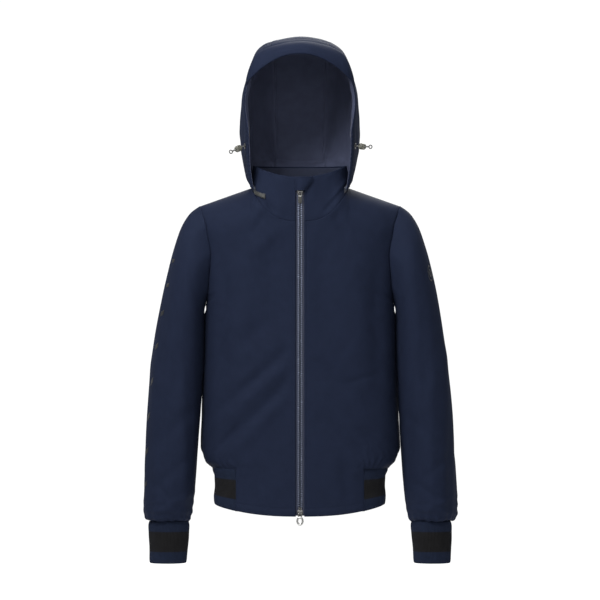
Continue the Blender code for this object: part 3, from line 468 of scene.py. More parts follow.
# ---- mesh tools ----
def even(count, low=0.0, high=1.0):
    return [low + (high - low) * i / count for i in range(count + 1)]


def lattice(surface, us, vs):
    return np.array([[surface(u, v) for v in vs] for u in us], float)


def smooth_rows(grid, count, axis=0, knots=None):
    """The grid resampled to count + 1 rows along the axis, on smooth curves through its rows."""
    grid = np.moveaxis(grid, axis, 0)
    last = len(grid) - 1
    place = np.linspace(0, last, count + 1)
    i = np.minimum(place.astype(int), last - 1)
    t = (place - i).reshape((-1,) + (1,) * (grid.ndim - 1))
    p0 = np.where((i > 0).reshape(t.shape), grid[np.maximum(i - 1, 0)], 2 * grid[0] - grid[1])
    beyond = 2 * grid[last] - grid[last - 1]
    p3 = np.where((i < last - 1).reshape(t.shape), grid[np.minimum(i + 2, last)], beyond)
    p1, p2 = grid[i], grid[i + 1]
    fine = (
        2 * p1 + (p2 - p0) * t + (2 * p0 - 5 * p1 + 4 * p2 - p3) * t**2 + (3 * p1 - p0 - 3 * p2 + p3) * t**3
    ) / 2
    return np.moveaxis(fine, 0, axis)


def unit(vectors):
    return vectors / np.maximum(np.linalg.norm(vectors, axis=-1, keepdims=True), 1e-12)


def normals_of(grid, core, wraps=False):
    """Outward directions at the grid's points; core is a point, or one for each row, behind the surface."""
    if wraps:
        across = np.roll(grid[:-1], -1, 0) - np.roll(grid[:-1], 1, 0)
        across = np.concatenate([across, across[:1]])
    else:
        across = np.gradient(grid, axis=0)
    up = np.gradient(grid, axis=1)
    normals = unit(np.cross(across, up))
    if (normals * (grid - np.asarray(core))).sum() < 0:
        normals = -normals
    return normals


def softened(field, rounds):
    """The field averaged with its neighbours, that many times."""
    for _ in range(rounds):
        padded = np.pad(field, [(1, 1), (1, 1)] + [(0, 0)] * (field.ndim - 2), mode="edge")
        field = (
            padded[1:-1, 1:-1] * 4 + padded[:-2, 1:-1] + padded[2:, 1:-1]
            + padded[1:-1, :-2] + padded[1:-1, 2:]
        ) / 8
    return field


def smoothstep(value, low, high):
    t = np.clip((np.asarray(value, float) - low) / (high - low), 0, 1)
    return t * t * (3 - 2 * t)


def bump(value, middle, width):
    return np.exp(-(((np.asarray(value, float) - middle) / width) ** 2))


def creases(x, z, folds):
    """The sum of soft folds; each is (x0, z0, x1, z1, half width, height), in metres."""
    total = np.zeros_like(x)
    for x0, z0, x1, z1, width, height in folds:
        along = np.array([x1 - x0, z1 - z0])
        length = np.linalg.norm(along)
        along = along / length
        run = (x - x0) * along[0] + (z - z0) * along[1]
        off = (x - x0) * along[1] - (z - z0) * along[0]
        off = off + 0.10 * width * np.sin(run * 40 + x0 * 90)
        taper = smoothstep(run, -0.25 * length, 0.25 * length)
        taper = taper * smoothstep(-run, -1.25 * length, -0.75 * length)
        total += height * taper * np.exp(-((off / width) ** 2))
    return total


def drift(a, b, seed, scale, height):
    """Slow unevenness over two coordinates in metres."""
    rng = np.random.default_rng(seed)
    total = np.zeros_like(a)
    for _ in range(7):
        turn, phase, grow = rng.uniform(0, 2 * math.pi, 2).tolist() + [rng.uniform(0.6, 1.7)]
        total += np.sin((a * math.cos(turn) + b * math.sin(turn)) * grow * 2 * math.pi / scale + phase) / grow
    return total * height / 3.2


def object_of(name, mesh, material, smooth=True):
    mesh.materials.append(material)
    if smooth:
        mesh.shade_smooth()
    obj = bpy.data.objects.new(name, mesh)
    scene.collection.objects.link(obj)
    return obj


def mesh_of(name, points, faces, uvs=None):
    """uvs holds one pair of metres for each face corner."""
    mesh = bpy.data.meshes.new(name)
    mesh.from_pydata(np.asarray(points).tolist(), [], [list(f) for f in faces])
    if uvs is not None:
        layer = mesh.uv_layers.new(name="cloth")
        layer.data.foreach_set("uv", np.asarray(uvs, np.float32).ravel())
    bm = bmesh.new()
    bm.from_mesh(mesh)
    bmesh.ops.recalc_face_normals(bm, faces=bm.faces)
    bm.to_mesh(mesh)
    bm.free()
    return mesh


class Cloth:
    """A sheet of fabric on a grid of points, thick inwards, with rounded edges."""

    def __init__(self, name, grid, thick, material, core, wraps=False, cut_out=None):
        grid = np.asarray(grid, float)
        self.grid, self.wraps = grid, wraps
        self.normals = normals_of(grid, core, wraps)
        nu, nv = grid.shape[:2]
        columns = nu - 1 if wraps else nu
        inner = grid - softened(self.normals, 1) * thick
        across = np.linalg.norm(np.diff(grid, axis=0), axis=2).mean(1)
        up = np.linalg.norm(np.diff(grid, axis=1), axis=2).mean(0)
        self.u_m = np.concatenate([[0], np.cumsum(across)])
        self.v_m = np.concatenate([[0], np.cumsum(up)])
        cells = [
            (i, k) for i in range(nu - 1) for k in range(nv - 1)
            if not (cut_out is not None and cut_out[i, k])
        ]
        here = set(cells)
        points = [*grid[:columns].reshape(-1, 3), *inner[:columns].reshape(-1, 3)]
        layer = columns * nv
        faces, uvs = [], []

        def at(i, k):
            return (i % columns) * nv + k

        def face(corners, index):
            faces.append(index)
            uvs.extend((self.u_m[i], self.v_m[k]) for i, k in corners)

        rims = {}
        for i, k in cells:
            corners = ((i, k), (i + 1, k), (i + 1, k + 1), (i, k + 1))
            index = [at(*c) for c in corners]
            face(corners, index)
            face(corners[::-1], [layer + n for n in index[::-1]])
            beyond = ((i, k - 1), (i + 1, k), (i, k + 1), (i - 1, k))
            for edge in range(4):
                other = beyond[edge]
                if wraps:
                    other = (other[0] % (nu - 1), other[1])
                if other in here:
                    continue
                a, b = corners[edge], corners[(edge + 1) % 4]
                away = np.mean([grid[a], grid[b]], 0) - np.mean([grid[c] for c in corners], 0)
                for c in (a, b):
                    key = at(*c)
                    rims.setdefault(key, []).append(away / max(np.linalg.norm(away), 1e-12))
                face((a, b, b, a), ("rim", a, b))
        middle = {}
        for key, ways in rims.items():
            way = np.sum(ways, 0)
            way = way / max(np.linalg.norm(way), 1e-12)
            middle[key] = len(points)
            points.append((points[key] + points[key + layer]) / 2 + way * thick * 0.42)
        final, final_uvs, corner = [], [], 0
        for f in faces:
            if f[0] != "rim":
                final.append(f)
                final_uvs.extend(uvs[corner:corner + 4])
            else:
                a, b = at(*f[1]), at(*f[2])
                final.append([b, a, middle[a], middle[b]])
                final.append([middle[b], middle[a], a + layer, b + layer])
                final_uvs.extend(uvs[corner:corner + 4] * 2)
            corner += 4
        used = sorted({n for f in final for n in f})
        renumber = {n: i for i, n in enumerate(used)}
        final = [[renumber[n] for n in f] for f in final]
        self.obj = object_of(name, mesh_of(name, [points[n] for n in used], final, final_uvs), material)

    def at(self, i, k):
        """Point and normal at a fractional place on the grid."""
        i = min(max(i, 0.0), len(self.grid) - 1.001)
        k = min(max(k, 0.0), self.grid.shape[1] - 1.001)
        a, b = int(i), int(k)
        f, g = i - a, k - b
        out = []
        for field in (self.grid, self.normals):
            low = field[a, b] * (1 - f) + field[a + 1, b] * f
            high = field[a, b + 1] * (1 - f) + field[a + 1, b + 1] * f
            out.append(low * (1 - g) + high * g)
        return out[0], out[1] / np.linalg.norm(out[1])

    def line(self, start, end, count=160):
        """Points and normals along a straight line on the grid."""
        places = [(start[0] + (end[0] - start[0]) * i / count, start[1] + (end[1] - start[1]) * i / count)
                  for i in range(count + 1)]
        found = [self.at(*p) for p in places]
        return np.array([p for p, _ in found]), np.array([n for _, n in found])


def along_path(points, normals, step):
    """Places every step along a path: points, directions and normals."""
    lengths = np.concatenate([[0], np.cumsum(np.linalg.norm(np.diff(points, axis=0), axis=1))])
    count = max(int(lengths[-1] / step), 1)
    places = (np.arange(count) + 0.5) * lengths[-1] / count
    middles = np.stack([np.interp(places, lengths, points[:, i]) for i in range(3)], 1)
    ups = unit(np.stack([np.interp(places, lengths, normals[:, i]) for i in range(3)], 1))
    ahead = np.stack([np.interp(places + step * 0.2, lengths, points[:, i]) for i in range(3)], 1)
    behind = np.stack([np.interp(places - step * 0.2, lengths, points[:, i]) for i in range(3)], 1)
    along = unit(ahead - behind)
    return middles, along, unit(ups - along * (ups * along).sum(1, keepdims=True))


STITCH = 0.0027  # from one stitch to the next
STITCH_R = 0.00022


def stitches(name, paths, material, lift=0.00005, length=0.74, radius=STITCH_R, step=STITCH):
    """Sewn threads: one short rounded bead for each stitch, sunk at both ends."""
    sides, rings = 6, ((-0.5, 0.35), (-0.3, 0.9), (0.0, 1.0), (0.3, 0.9), (0.5, 0.35))
    points, faces = [], []
    for path, normals in paths:
        middles, along, ups = along_path(np.asarray(path), np.asarray(normals), step)
        cross = np.cross(along, ups)
        for middle, ahead, up, side in zip(middles, along, ups, cross):
            first = len(points)
            for place, width in rings:
                arched = lift - radius * 1.3 * (2 * place) ** 4
                centre = middle + ahead * place * length * step + up * arched
                for n in range(sides):
                    turn = 2 * math.pi * n / sides
                    points.append(centre + (side * math.cos(turn) + up * math.sin(turn)) * radius * width)
            for ring in range(len(rings) - 1):
                low = first + ring * sides
                for n in range(sides):
                    m = (n + 1) % sides
                    faces.append((low + n, low + m, low + sides + m, low + sides + n))
            faces.append([first + n for n in reversed(range(sides))])
            faces.append([first + (len(rings) - 1) * sides + n for n in range(sides)])
    return object_of(name, mesh_of(name, points, faces), material)


def sew(name, rows, moves, slot, **more):
    """Rows of thread on a cloth that moves with a body."""
    settle(stitches(name, rows, THREAD, **more), moves, slot)


def lathe(name, profile, place, material, sides=48, closed=True):
    """Turned about the matrix's own Z; profile is (radius, height) points. A closed profile is a ring."""
    points, faces = [], []
    for radius, height in profile:
        for n in range(sides):
            turn = 2 * math.pi * n / sides
            points.append(place @ Vector((radius * math.cos(turn), radius * math.sin(turn), height)))
    rows = len(profile)
    for row in range(rows if closed else rows - 1):
        low, high = row * sides, ((row + 1) % rows) * sides
        for n in range(sides):
            m = (n + 1) % sides
            faces.append((low + n, low + m, high + m, high + n))
    if not closed:
        faces.append(list(range(sides)))
        faces.append([(rows - 1) * sides + n for n in range(sides)])
    return object_of(name, mesh_of(name, points, faces), material)


def tube_along(name, path, radius, material, sides=12, flat=1.0):
    """A closed tube along the points; radius may be one for each."""
    path = np.asarray(path, float)
    radii = np.broadcast_to(np.asarray(radius, float), (len(path),))
    along = unit(np.gradient(path, axis=0))
    guide = np.array([0.0, 0.0, 1.0]) if abs(along[0][2]) < 0.9 else np.array([0.0, 1.0, 0.0])
    points, faces = [], []
    side = np.cross(along[0], guide)
    for place, ahead, r in zip(path, along, radii):
        side = side - ahead * (side @ ahead)
        side = side / np.linalg.norm(side)
        up = np.cross(ahead, side)
        for n in range(sides):
            turn = 2 * math.pi * n / sides
            points.append(place + side * math.cos(turn) * r + up * math.sin(turn) * r * flat)
    for row in range(len(path) - 1):
        for n in range(sides):
            m = (n + 1) % sides
            faces.append((row * sides + n, row * sides + m, (row + 1) * sides + m, (row + 1) * sides + n))
    faces.append([n for n in reversed(range(sides))])
    faces.append([(len(path) - 1) * sides + n for n in range(sides)])
    return object_of(name, mesh_of(name, points, faces), material)


def outline_solid(name, outline, thick, place, material, bevel=0.0, segments=2, hole=None):
    """A flat plate with rounded edges; outline is x, z points and thickness runs along the matrix's Y."""
    bm = bmesh.new()
    low = [bm.verts.new((x, -thick / 2, z)) for x, z in outline]
    high = [bm.verts.new((x, thick / 2, z)) for x, z in outline]
    count = len(outline)
    if hole is None:
        bm.faces.new(low)
        bm.faces.new(high[::-1])
    else:
        inner_low = [bm.verts.new((x, -thick / 2, z)) for x, z in hole]
        inner_high = [bm.verts.new((x, thick / 2, z)) for x, z in hole]
        for i in range(count):
            j = (i + 1) % count
            bm.faces.new((low[i], low[j], inner_low[j], inner_low[i]))
            bm.faces.new((high[j], high[i], inner_high[i], inner_high[j]))
            bm.faces.new((inner_low[i], inner_low[j], inner_high[j], inner_high[i]))
    for i in range(count):
        j = (i + 1) % count
        bm.faces.new((low[j], low[i], high[i], high[j]))
    bmesh.ops.recalc_face_normals(bm, faces=bm.faces)
    if bevel:
        edges = [e for e in bm.edges if e.is_manifold and e.calc_face_angle() > math.radians(40)]
        bmesh.ops.bevel(bm, geom=edges, offset=bevel, segments=segments, profile=0.5, affect="EDGES")
    bmesh.ops.transform(bm, matrix=place, verts=bm.verts)
    bmesh.ops.recalc_face_normals(bm, faces=bm.faces)
    mesh = bpy.data.meshes.new(name)
    bm.to_mesh(mesh)
    bm.free()
    obj = object_of(name, mesh, material)
    mesh.set_sharp_from_angle(angle=math.radians(35))
    return obj


def oval(width, height, count=32, power=2.0, middle=(0.0, 0.0)):
    points = []
    for n in range(count):
        turn = 2 * math.pi * n / count
        c, s = math.cos(turn), math.sin(turn)
        points.append((
            middle[0] + width * math.copysign(abs(c) ** (2 / power), c),
            middle[1] + height * math.copysign(abs(s) ** (2 / power), s),
        ))
    return points


def joined(name, objs, material=None):
    """Several meshes as one piece."""
    bm = bmesh.new()
    mesh = bpy.data.meshes.new(name)
    for obj in objs:
        bm.from_mesh(obj.data)
        material = material or obj.data.materials[0]
        bpy.data.objects.remove(obj, do_unlink=True)
    bm.to_mesh(mesh)
    bm.free()
    return object_of(name, mesh, material)


# ---- drawcord and its tails: the routes of the CAD model ----
CORD_R = 0.0015
EYELET_OUTER, EYELET_INNER = 0.0060, 0.0034
TAIL_LENGTH = 0.031
TAIL_WAY = {"left": Vector((0.86, -0.50, -0.06)), "right": Vector((-0.74, -0.50, -0.34))}
LOCK_ALONG = 0.0160
LOCK_R = 0.0064
LOCK_FLOOR = -0.0070
PLUNGER_R = 0.0041
BORE_R = 0.0045
CORD_HOLE_R = 0.0021
CORD_HOLE_Z = 0.0012
LOOP_OUTER, LOOP_INNER = 0.0044, 0.0024
CORD_GAP = 0.0003
BEHIND_EYELET = 0.0030  # where a tail starts, inside the hood


def normal_at(surface, u, v):
    step = 1e-3
    along = surface(min(u + step, 1), v) - surface(max(u - step, 0), v)
    across = surface(u, min(v + step, 1)) - surface(u, max(v - step, 0))
    return along.cross(across).normalized()


def eyelet_frame(way):
    """On the hood's side, Z out of the fabric: the frame, its origin and its Z."""
    place = hood_side(EYELET_T, EYELET_W)
    outwards = normal_at(side_surface(1), EYELET_T, EYELET_W)
    if outwards.x < 0:
        outwards = -outwards
    place.x *= way
    outwards.x *= way
    return Matrix.Translation(place) @ outwards.to_track_quat("Z", "Y").to_matrix().to_4x4(), place, outwards


def tail_points(label, way):
    """Out of the eyelet, then along the lock's direction."""
    _, place, outwards = eyelet_frame(way)
    direction = TAIL_WAY[label].normalized()
    point = place - outwards * BEHIND_EYELET
    points = []
    count = 12
    for i in range(count + 1):
        points.append(point.copy())
        turn = min(i / 3.0, 1.0)
        point = point + outwards.lerp(direction, turn).normalized() * (TAIL_LENGTH + BEHIND_EYELET) / count
    return points


def lock_frame(label, way):
    """Z along the plunger, X along the cord; and the tail's last point and direction."""
    points = tail_points(label, way)
    direction = (points[-1] - points[-2]).normalized()
    middle = points[-1] - direction * (TAIL_LENGTH - LOCK_ALONG)
    front = Vector((0, -1, 0))
    axis = (front - direction * direction.dot(front)).normalized()
    turn = Matrix((direction, axis.cross(direction), axis)).transposed().to_4x4()
    return Matrix.Translation(middle - axis * CORD_HOLE_Z) @ turn, points[-1], direction


def drawcord_points():
    """In the tunnel behind the hood's front edge, from eyelet to eyelet."""
    left = []
    surface = side_surface(1)
    count = 26
    for i in range(count + 1):
        w = (EYELET_W - 0.075) * (1 - i / count) + 0.02
        normal = normal_at(surface, TUNNEL_T, w)
        if normal.x < 0:
            normal = -normal
        left.append(hood_side(TUNNEL_T, w) - normal * TUNNEL_IN)
    middle = []
    for i in range(1, 12):
        share = 1 - i / 6
        normal = Vector((0.31 * share, -0.25, 1)).normalized()
        middle.append(strip_point(share, TUNNEL_T * SIDE_END) - normal * TUNNEL_IN)
    right = [Vector((-p.x, p.y, p.z)) for p in reversed(left)]
    return left + middle + right


def cord_curve(name, points, material):
    data = bpy.data.curves.new(name, "CURVE")
    data.dimensions = "3D"
    data.bevel_depth = CORD_R
    data.bevel_resolution = 4
    data.use_fill_caps = True
    spline = data.splines.new("POLY")
    spline.points.add(len(points) - 1)
    for point, place in zip(spline.points, points):
        point.co = (*place, 1)
    data.materials.append(material)
    obj = bpy.data.objects.new(name, data)
    scene.collection.objects.link(obj)
    return obj


# ---- materials ----
class Shader:
    """A node material with small helpers. Numbers that are the same all over go straight on the sockets."""

    def __init__(self, name, color, roughness, **sockets):
        self.material = bpy.data.materials.new(name)
        self.material.use_nodes = True
        self.nodes = self.material.node_tree.nodes
        self.links = self.material.node_tree.links
        self.shader = self.nodes["Principled BSDF"]
        self.color = color
        self.shader.inputs["Base Color"].default_value = (*color, 1)
        self.shader.inputs["Roughness"].default_value = roughness
        for socket, value in sockets.items():
            self.shader.inputs[socket.replace("_", " ")].default_value = value
        self.height = None

    def add(self, kind, **settings):
        node = self.nodes.new(kind)
        for key, value in settings.items():
            if key in node.inputs:
                node.inputs[key].default_value = value
            else:
                setattr(node, key.lower(), value)
        return node

    def link(self, a, b):
        self.links.new(a, b)

    def place(self, stretch=(1, 1, 1), turn=0.0, on_cloth=True):
        """Metres over the cloth, or in the piece's own frame, scaled and turned."""
        if on_cloth:
            source = self.add("ShaderNodeUVMap")
            source.uv_map = "cloth"
            out = source.outputs["UV"]
        else:
            out = self.add("ShaderNodeTexCoord").outputs["Object"]
        mapping = self.add("ShaderNodeMapping")
        mapping.inputs["Scale"].default_value = stretch
        mapping.inputs["Rotation"].default_value = (0, 0, turn)
        self.link(out, mapping.inputs["Vector"])
        return mapping.outputs["Vector"]

    def noise(self, vector, scale, detail=2.0, roughness=0.5):
        node = self.add("ShaderNodeTexNoise", Scale=scale, Detail=detail, Roughness=roughness)
        self.link(vector, node.inputs["Vector"])
        return node.outputs["Fac"]

    def wave(self, vector, pitch, direction="X", distortion=0.0):
        node = self.add("ShaderNodeTexWave", Scale=math.pi / (10 * pitch), Distortion=distortion)
        node.bands_direction = direction
        node.wave_profile = "SIN"
        self.link(vector, node.inputs["Vector"])
        return node.outputs["Fac"]

    def math(self, operation, a, b):
        node = self.add("ShaderNodeMath")
        node.operation = operation
        for index, value in enumerate((a, b)):
            if hasattr(value, "is_linked"):
                self.link(value, node.inputs[index])
            else:
                node.inputs[index].default_value = value
        return node.outputs[0]

    def range(self, value, low, high, to_low, to_high):
        node = self.add("ShaderNodeMapRange")
        for key, number in (("From Min", low), ("From Max", high), ("To Min", to_low), ("To Max", to_high)):
            node.inputs[key].default_value = number
        self.link(value, node.inputs["Value"])
        return node.outputs["Result"]

    def mix(self, share, a, b):
        node = self.add("ShaderNodeMix")
        node.data_type = "RGBA"
        self.link(share, node.inputs["Factor"])
        for name, value in (("A", a), ("B", b)):
            socket = [s for s in node.inputs if s.name == name and s.type == "RGBA"][0]
            if hasattr(value, "is_linked"):
                self.link(value, socket)
            else:
                socket.default_value = (*value, 1)
        return [s for s in node.outputs if s.type == "RGBA"][0]

    def paint(self, out):
        self.link(out, self.shader.inputs["Base Color"])
        return self

    def rough(self, value, low, high):
        self.link(self.range(value, 0, 1, low, high), self.shader.inputs["Roughness"])
        return self

    def bump(self, height, distance, strength=1.0):
        node = self.add("ShaderNodeBump", Distance=distance, Strength=strength)
        self.link(height, node.inputs["Height"])
        if self.height is not None:
            self.link(self.height, node.inputs["Normal"])
        self.height = node.outputs["Normal"]
        self.link(self.height, self.shader.inputs["Normal"])
        return self


def tinted(color, factor):
    return tuple(min(c * factor, 1.0) for c in color)


def woven(name, color, roughness, pitch=0.0006, weave=0.00004, mottle=0.10, sheen=0.02,
          tint=(0.35, 0.45, 0.8), sheen_roughness=0.45):
    """A plain weave with slow mottling and a slight nap."""
    cloth = Shader(name, color, roughness, Sheen_Weight=sheen, Sheen_Roughness=sheen_roughness,
                   Sheen_Tint=(*tint, 1), Specular_IOR_Level=0.06, Specular_Tint=(0.5, 0.65, 1.0, 1))
    place = cloth.place()
    warp = cloth.wave(place, pitch, "X", 0.4)
    weft = cloth.wave(place, pitch, "Y", 0.4)
    threads = cloth.math("MULTIPLY", warp, weft)
    slow = cloth.noise(place, 38, 3.0, 0.6)
    fine = cloth.noise(place, 900, 2.0, 0.5)
    share = cloth.math("ADD", cloth.math("MULTIPLY", slow, 0.65), cloth.math("MULTIPLY", fine, 0.35))
    shade = cloth.range(share, 0.3, 0.7, 0, 1)
    cloth.paint(cloth.mix(shade, tinted(color, 1 - mottle), tinted(color, 1 + mottle)))
    cloth.rough(slow, roughness - 0.05, roughness + 0.06)
    cloth.bump(slow, 0.00025, 0.5)
    cloth.bump(threads, weave, 0.8)
    cloth.bump(fine, 0.00002, 0.6)
    return cloth.material


NAVY = (0.0106, 0.0144, 0.0298)
SOFTSHELL = woven("softshell", NAVY, 0.70)
SOFTSHELL_EDGE = woven("softshell_binding", tinted(NAVY, 0.86), 0.72)
LINING_CLOTH = woven("lining_cloth", (0.0300, 0.0345, 0.0560), 0.62, pitch=0.0009, weave=0.00006, mottle=0.14,
                     sheen=0.08, tint=(0.45, 0.52, 0.75))
THREAD = woven("thread", tinted(NAVY, 0.72), 0.55, pitch=0.0002, weave=0.00002, sheen=0.1)
# The hood's lining is the lining cloth made brighter: painted light for the inside of the hood.
HOOD_LINING_PAINTED_LIGHT = woven("hood_lining_painted_light", (0.0540, 0.0610, 0.1000), 0.62, pitch=0.0009, weave=0.00006,
                    mottle=0.14, sheen=0.08, tint=(0.45, 0.52, 0.75))


def knit_shader(name, bands, color, band_color):
    """Fine knitted ribs; bands holds (low, high) heights in metres of the darker stripe."""
    knit = Shader(name, color, 0.88, Sheen_Weight=0.05, Sheen_Roughness=0.5, Sheen_Tint=(0.4, 0.45, 0.7, 1),
                  Specular_IOR_Level=0.08)
    place = knit.place()
    loops = knit.wave(knit.place((1, 1, 1)), 0.0011, "Y", 1.2)
    fuzz = knit.noise(place, 1400, 3.0, 0.6)
    slow = knit.noise(place, 60, 2.0)
    split = knit.add("ShaderNodeSeparateXYZ")
    knit.link(place, split.inputs[0])
    low, high = bands
    up = knit.range(split.outputs["Y"], low - 0.0004, low + 0.0004, 0, 1)
    down = knit.range(split.outputs["Y"], high - 0.0004, high + 0.0004, 1, 0)
    inside = knit.math("MULTIPLY", up, down)
    shade = knit.range(knit.math("ADD", slow, fuzz), 0.6, 1.4, 0, 1)
    plain = knit.mix(shade, tinted(color, 0.82), tinted(color, 1.18))
    dark = knit.mix(shade, tinted(band_color, 0.80), tinted(band_color, 1.2))
    node = knit.add("ShaderNodeMix")
    node.data_type = "RGBA"
    knit.link(inside, node.inputs["Factor"])
    first, second = [s for s in node.inputs if s.type == "RGBA"]
    knit.link(plain, first)
    knit.link(dark, second)
    knit.paint([s for s in node.outputs if s.type == "RGBA"][0])
    knit.bump(loops, 0.00022, 0.7)
    knit.bump(fuzz, 0.00012, 0.7)
    return knit.material


BAND_COLOR = (0.0088, 0.0086, 0.0088)
KNIT_COLOR = (0.0088, 0.0135, 0.0290)


def twill(name, color, roughness, pitch, depth, turn=0.7854, **more):
    """Diagonal woven tape."""
    tape = Shader(
        name, color, roughness, Sheen_Weight=0.2, Sheen_Roughness=0.5, Specular_IOR_Level=0.4, **more
    )
    diagonal = tape.wave(tape.place(turn=turn), pitch, "X", 0.3)
    place = tape.place()
    grain = tape.noise(place, 1200, 2.0)
    # Darker in the grooves between the diagonal ribs and lighter on them, painted shade and light over the
    # relief; the grain adds the tape's own uneven tone.
    tape.paint(tape.mix(tape.math("MULTIPLY", diagonal, grain), tinted(color, 0.75), tinted(color, 1.3)))
    tape.rough(grain, roughness - 0.06, roughness + 0.06)
    tape.bump(diagonal, depth, 0.8)
    tape.bump(grain, 0.00003, 0.5)
    return tape.material


ZIP_TAPE = twill("zip_tape_cloth", (0.013, 0.020, 0.055), 0.50, 0.0009, 0.00010)
WEBBING = twill("webbing_cloth", (0.0100, 0.0140, 0.0260), 0.75, 0.0012, 0.00016)
LABEL = twill("label_cloth", (0.055, 0.060, 0.075), 0.65, 0.0005, 0.00005)


def moulded(name, color, roughness, grain=0.00003, spots=700, mottle=0.12, **more):
    """Moulded plastic: a fine orange-peel surface and faint scuffs."""
    plastic = Shader(name, color, roughness, **more)
    place = plastic.place(on_cloth=False)
    fine = plastic.noise(place, spots, 2.0)
    slow = plastic.noise(place, 120, 2.0)
    plastic.paint(plastic.mix(slow, tinted(color, 1 - mottle), tinted(color, 1 + mottle)))
    plastic.rough(slow, roughness - 0.05, roughness + 0.08)
    plastic.bump(fine, grain, 0.6)
    return plastic.material


def metal(name, color, roughness, grain=0.00002, **more):
    """Plated metal with fine polishing marks and slight tarnish."""
    plate = Shader(name, color, roughness, Metallic=1.0, **more)
    place = plate.place(on_cloth=False)
    marks = plate.noise(plate.place((1, 1, 0.08), on_cloth=False), 2600, 2.0)
    slow = plate.noise(place, 260, 3.0)
    plate.paint(plate.mix(slow, tinted(color, 0.80), tinted(color, 1.12)))
    plate.rough(slow, roughness - 0.06, roughness + 0.12)
    plate.bump(marks, grain, 0.5)
    return plate.material


TEETH = moulded("zip_teeth_plastic", (0.160, 0.185, 0.260), 0.24, Metallic=0.5)
ZIP_METAL = metal("zip_metal", (0.12, 0.12, 0.12), 0.28)
BRIGHT_METAL = metal("pull_metal", (0.22, 0.22, 0.215), 0.24)
RING_METAL = metal("ring_metal", (0.50, 0.50, 0.49), 0.22)
DARK_METAL = metal("eyelet_metal", (0.18, 0.18, 0.19), 0.32)
SPRING_METAL = metal("spring_metal", (0.55, 0.55, 0.53), 0.25)
OLIVE_TAB = moulded("pull_tab_rubber", (0.020, 0.021, 0.018), 0.50)
LOCK_PLASTIC = moulded("lock_plastic", (0.120, 0.120, 0.098), 0.40, Coat_Weight=0.15, Coat_Roughness=0.2)
PLUNGER_PLASTIC = moulded("plunger_plastic", (0.085, 0.085, 0.070), 0.42)
PRINT_FILM = moulded("print_film", (0.006, 0.007, 0.009), 0.28, grain=0.00002, spots=1400)
PULL_TAB_CLOTH = twill("pull_tab_cloth", (0.020, 0.021, 0.018), 0.55, 0.0010, 0.00010)


def braided(name, color):
    cord_shader = Shader(name, color, 0.72, Sheen_Weight=0.3, Sheen_Roughness=0.5)
    place = cord_shader.place(on_cloth=False)
    left = cord_shader.wave(cord_shader.place(turn=0.9, on_cloth=False), 0.0007, "DIAGONAL", 0.2)
    right = cord_shader.wave(cord_shader.place(turn=-0.9, on_cloth=False), 0.0007, "DIAGONAL", 0.2)
    fine = cord_shader.noise(place, 1800, 2.0)
    braid = cord_shader.math("MAXIMUM", left, right)
    # The colour follows the braid's relief: darker in the grooves between strands, painted shade, and lighter
    # on the strands, painted light.
    cord_shader.paint(cord_shader.mix(braid, tinted(color, 0.55), tinted(color, 1.3)))
    cord_shader.bump(braid, 0.00018, 0.8)
    cord_shader.bump(fine, 0.00004, 0.5)
    return cord_shader.material


CORD_CLOTH = braided("cord_braid", (0.060, 0.062, 0.060))
CORD_END = braided("cord_end_braid", (0.030, 0.030, 0.028))


# ---- cords ----
for way, label in SIDES:
    path = tail_points(label, way)
    tail = cord_curve(f"tail_{label}", path, CORD_CLOTH)
    settle(tail, "hood", "cord", f"cord_tail_{label}")
    frame_of_lock, tip, heading = lock_frame(label, way)
    end_place = frame_of_lock.copy()
    end_place.translation = tip + heading * (LOOP_OUTER + CORD_GAP)
    middle_r, section_r = (LOOP_OUTER + LOOP_INNER) / 2, (LOOP_OUTER - LOOP_INNER) / 2
    ring = [
        (middle_r + section_r * math.cos(turn), section_r * 1.1 * math.sin(turn))
        for turn in np.linspace(0, 2 * math.pi, 16, False)
    ]
    end = lathe(f"tail_end_{label}", ring, end_place, CORD_END, 40)
    settle(end, "hood", "cord", f"cord_end_{label}")
drawcord = cord_curve("drawcord", drawcord_points(), CORD_CLOTH)
settle(drawcord, "hood", "cord", "hood_drawcord")


# ---- cloth details ----
MIRROR = np.array([-1.0, 1.0, 1.0])


def edge_distances(grid):
    """Metres from each edge of the grid, at its points: from u = 0, u = 1, v = 0 and v = 1."""
    found = []
    for axis in (0, 1):
        steps = np.linalg.norm(np.diff(grid, axis=axis), axis=2)
        pad = [(1, 0), (0, 0)] if axis == 0 else [(0, 0), (1, 0)]
        run = np.cumsum(np.pad(steps, pad), axis=axis)
        whole = run[-1:] if axis == 0 else run[:, -1:]
        found += [run, whole - run]
    return found


def tucked(distance, depth=0.0011, width=0.0032):
    """A seam's edge turns in."""
    return -depth * np.exp(-((distance / width) ** 2))


def pushed(grid, core, push, wraps=False):
    return grid + normals_of(grid, core, wraps) * push[..., None]


def inset_path(cloth, edge, distance, low=0.0, high=1.0, count=400):
    """Points and normals at a distance in from one edge of a cloth; edge is u0, u1, v0 or v1."""
    axis = 0 if edge[0] == "u" else 1
    lines = cloth.grid if axis == 0 else np.swapaxes(cloth.grid, 0, 1)
    if edge[1] == "1":
        lines = lines[::-1]
    run = np.concatenate([
        np.zeros((1, lines.shape[1])), np.cumsum(np.linalg.norm(np.diff(lines, axis=0), axis=2), axis=0)
    ])
    last = len(lines) - 1
    points, normals = [], []
    for j in np.linspace(low, high, count) * (lines.shape[1] - 1):
        i = np.interp(distance, run[:, int(round(j))], np.arange(last + 1))
        if edge[1] == "1":
            i = last - i
        point, normal = cloth.at(i, j) if axis == 0 else cloth.at(j, i)
        points.append(point)
        normals.append(normal)
    return np.array(points), np.array(normals)


def groove(grid_distance, at, depth=0.00045, width=0.0011):
    """The thread of a row of stitches pulls the cloth in."""
    return -depth * np.exp(-(((grid_distance - at) / width) ** 2))


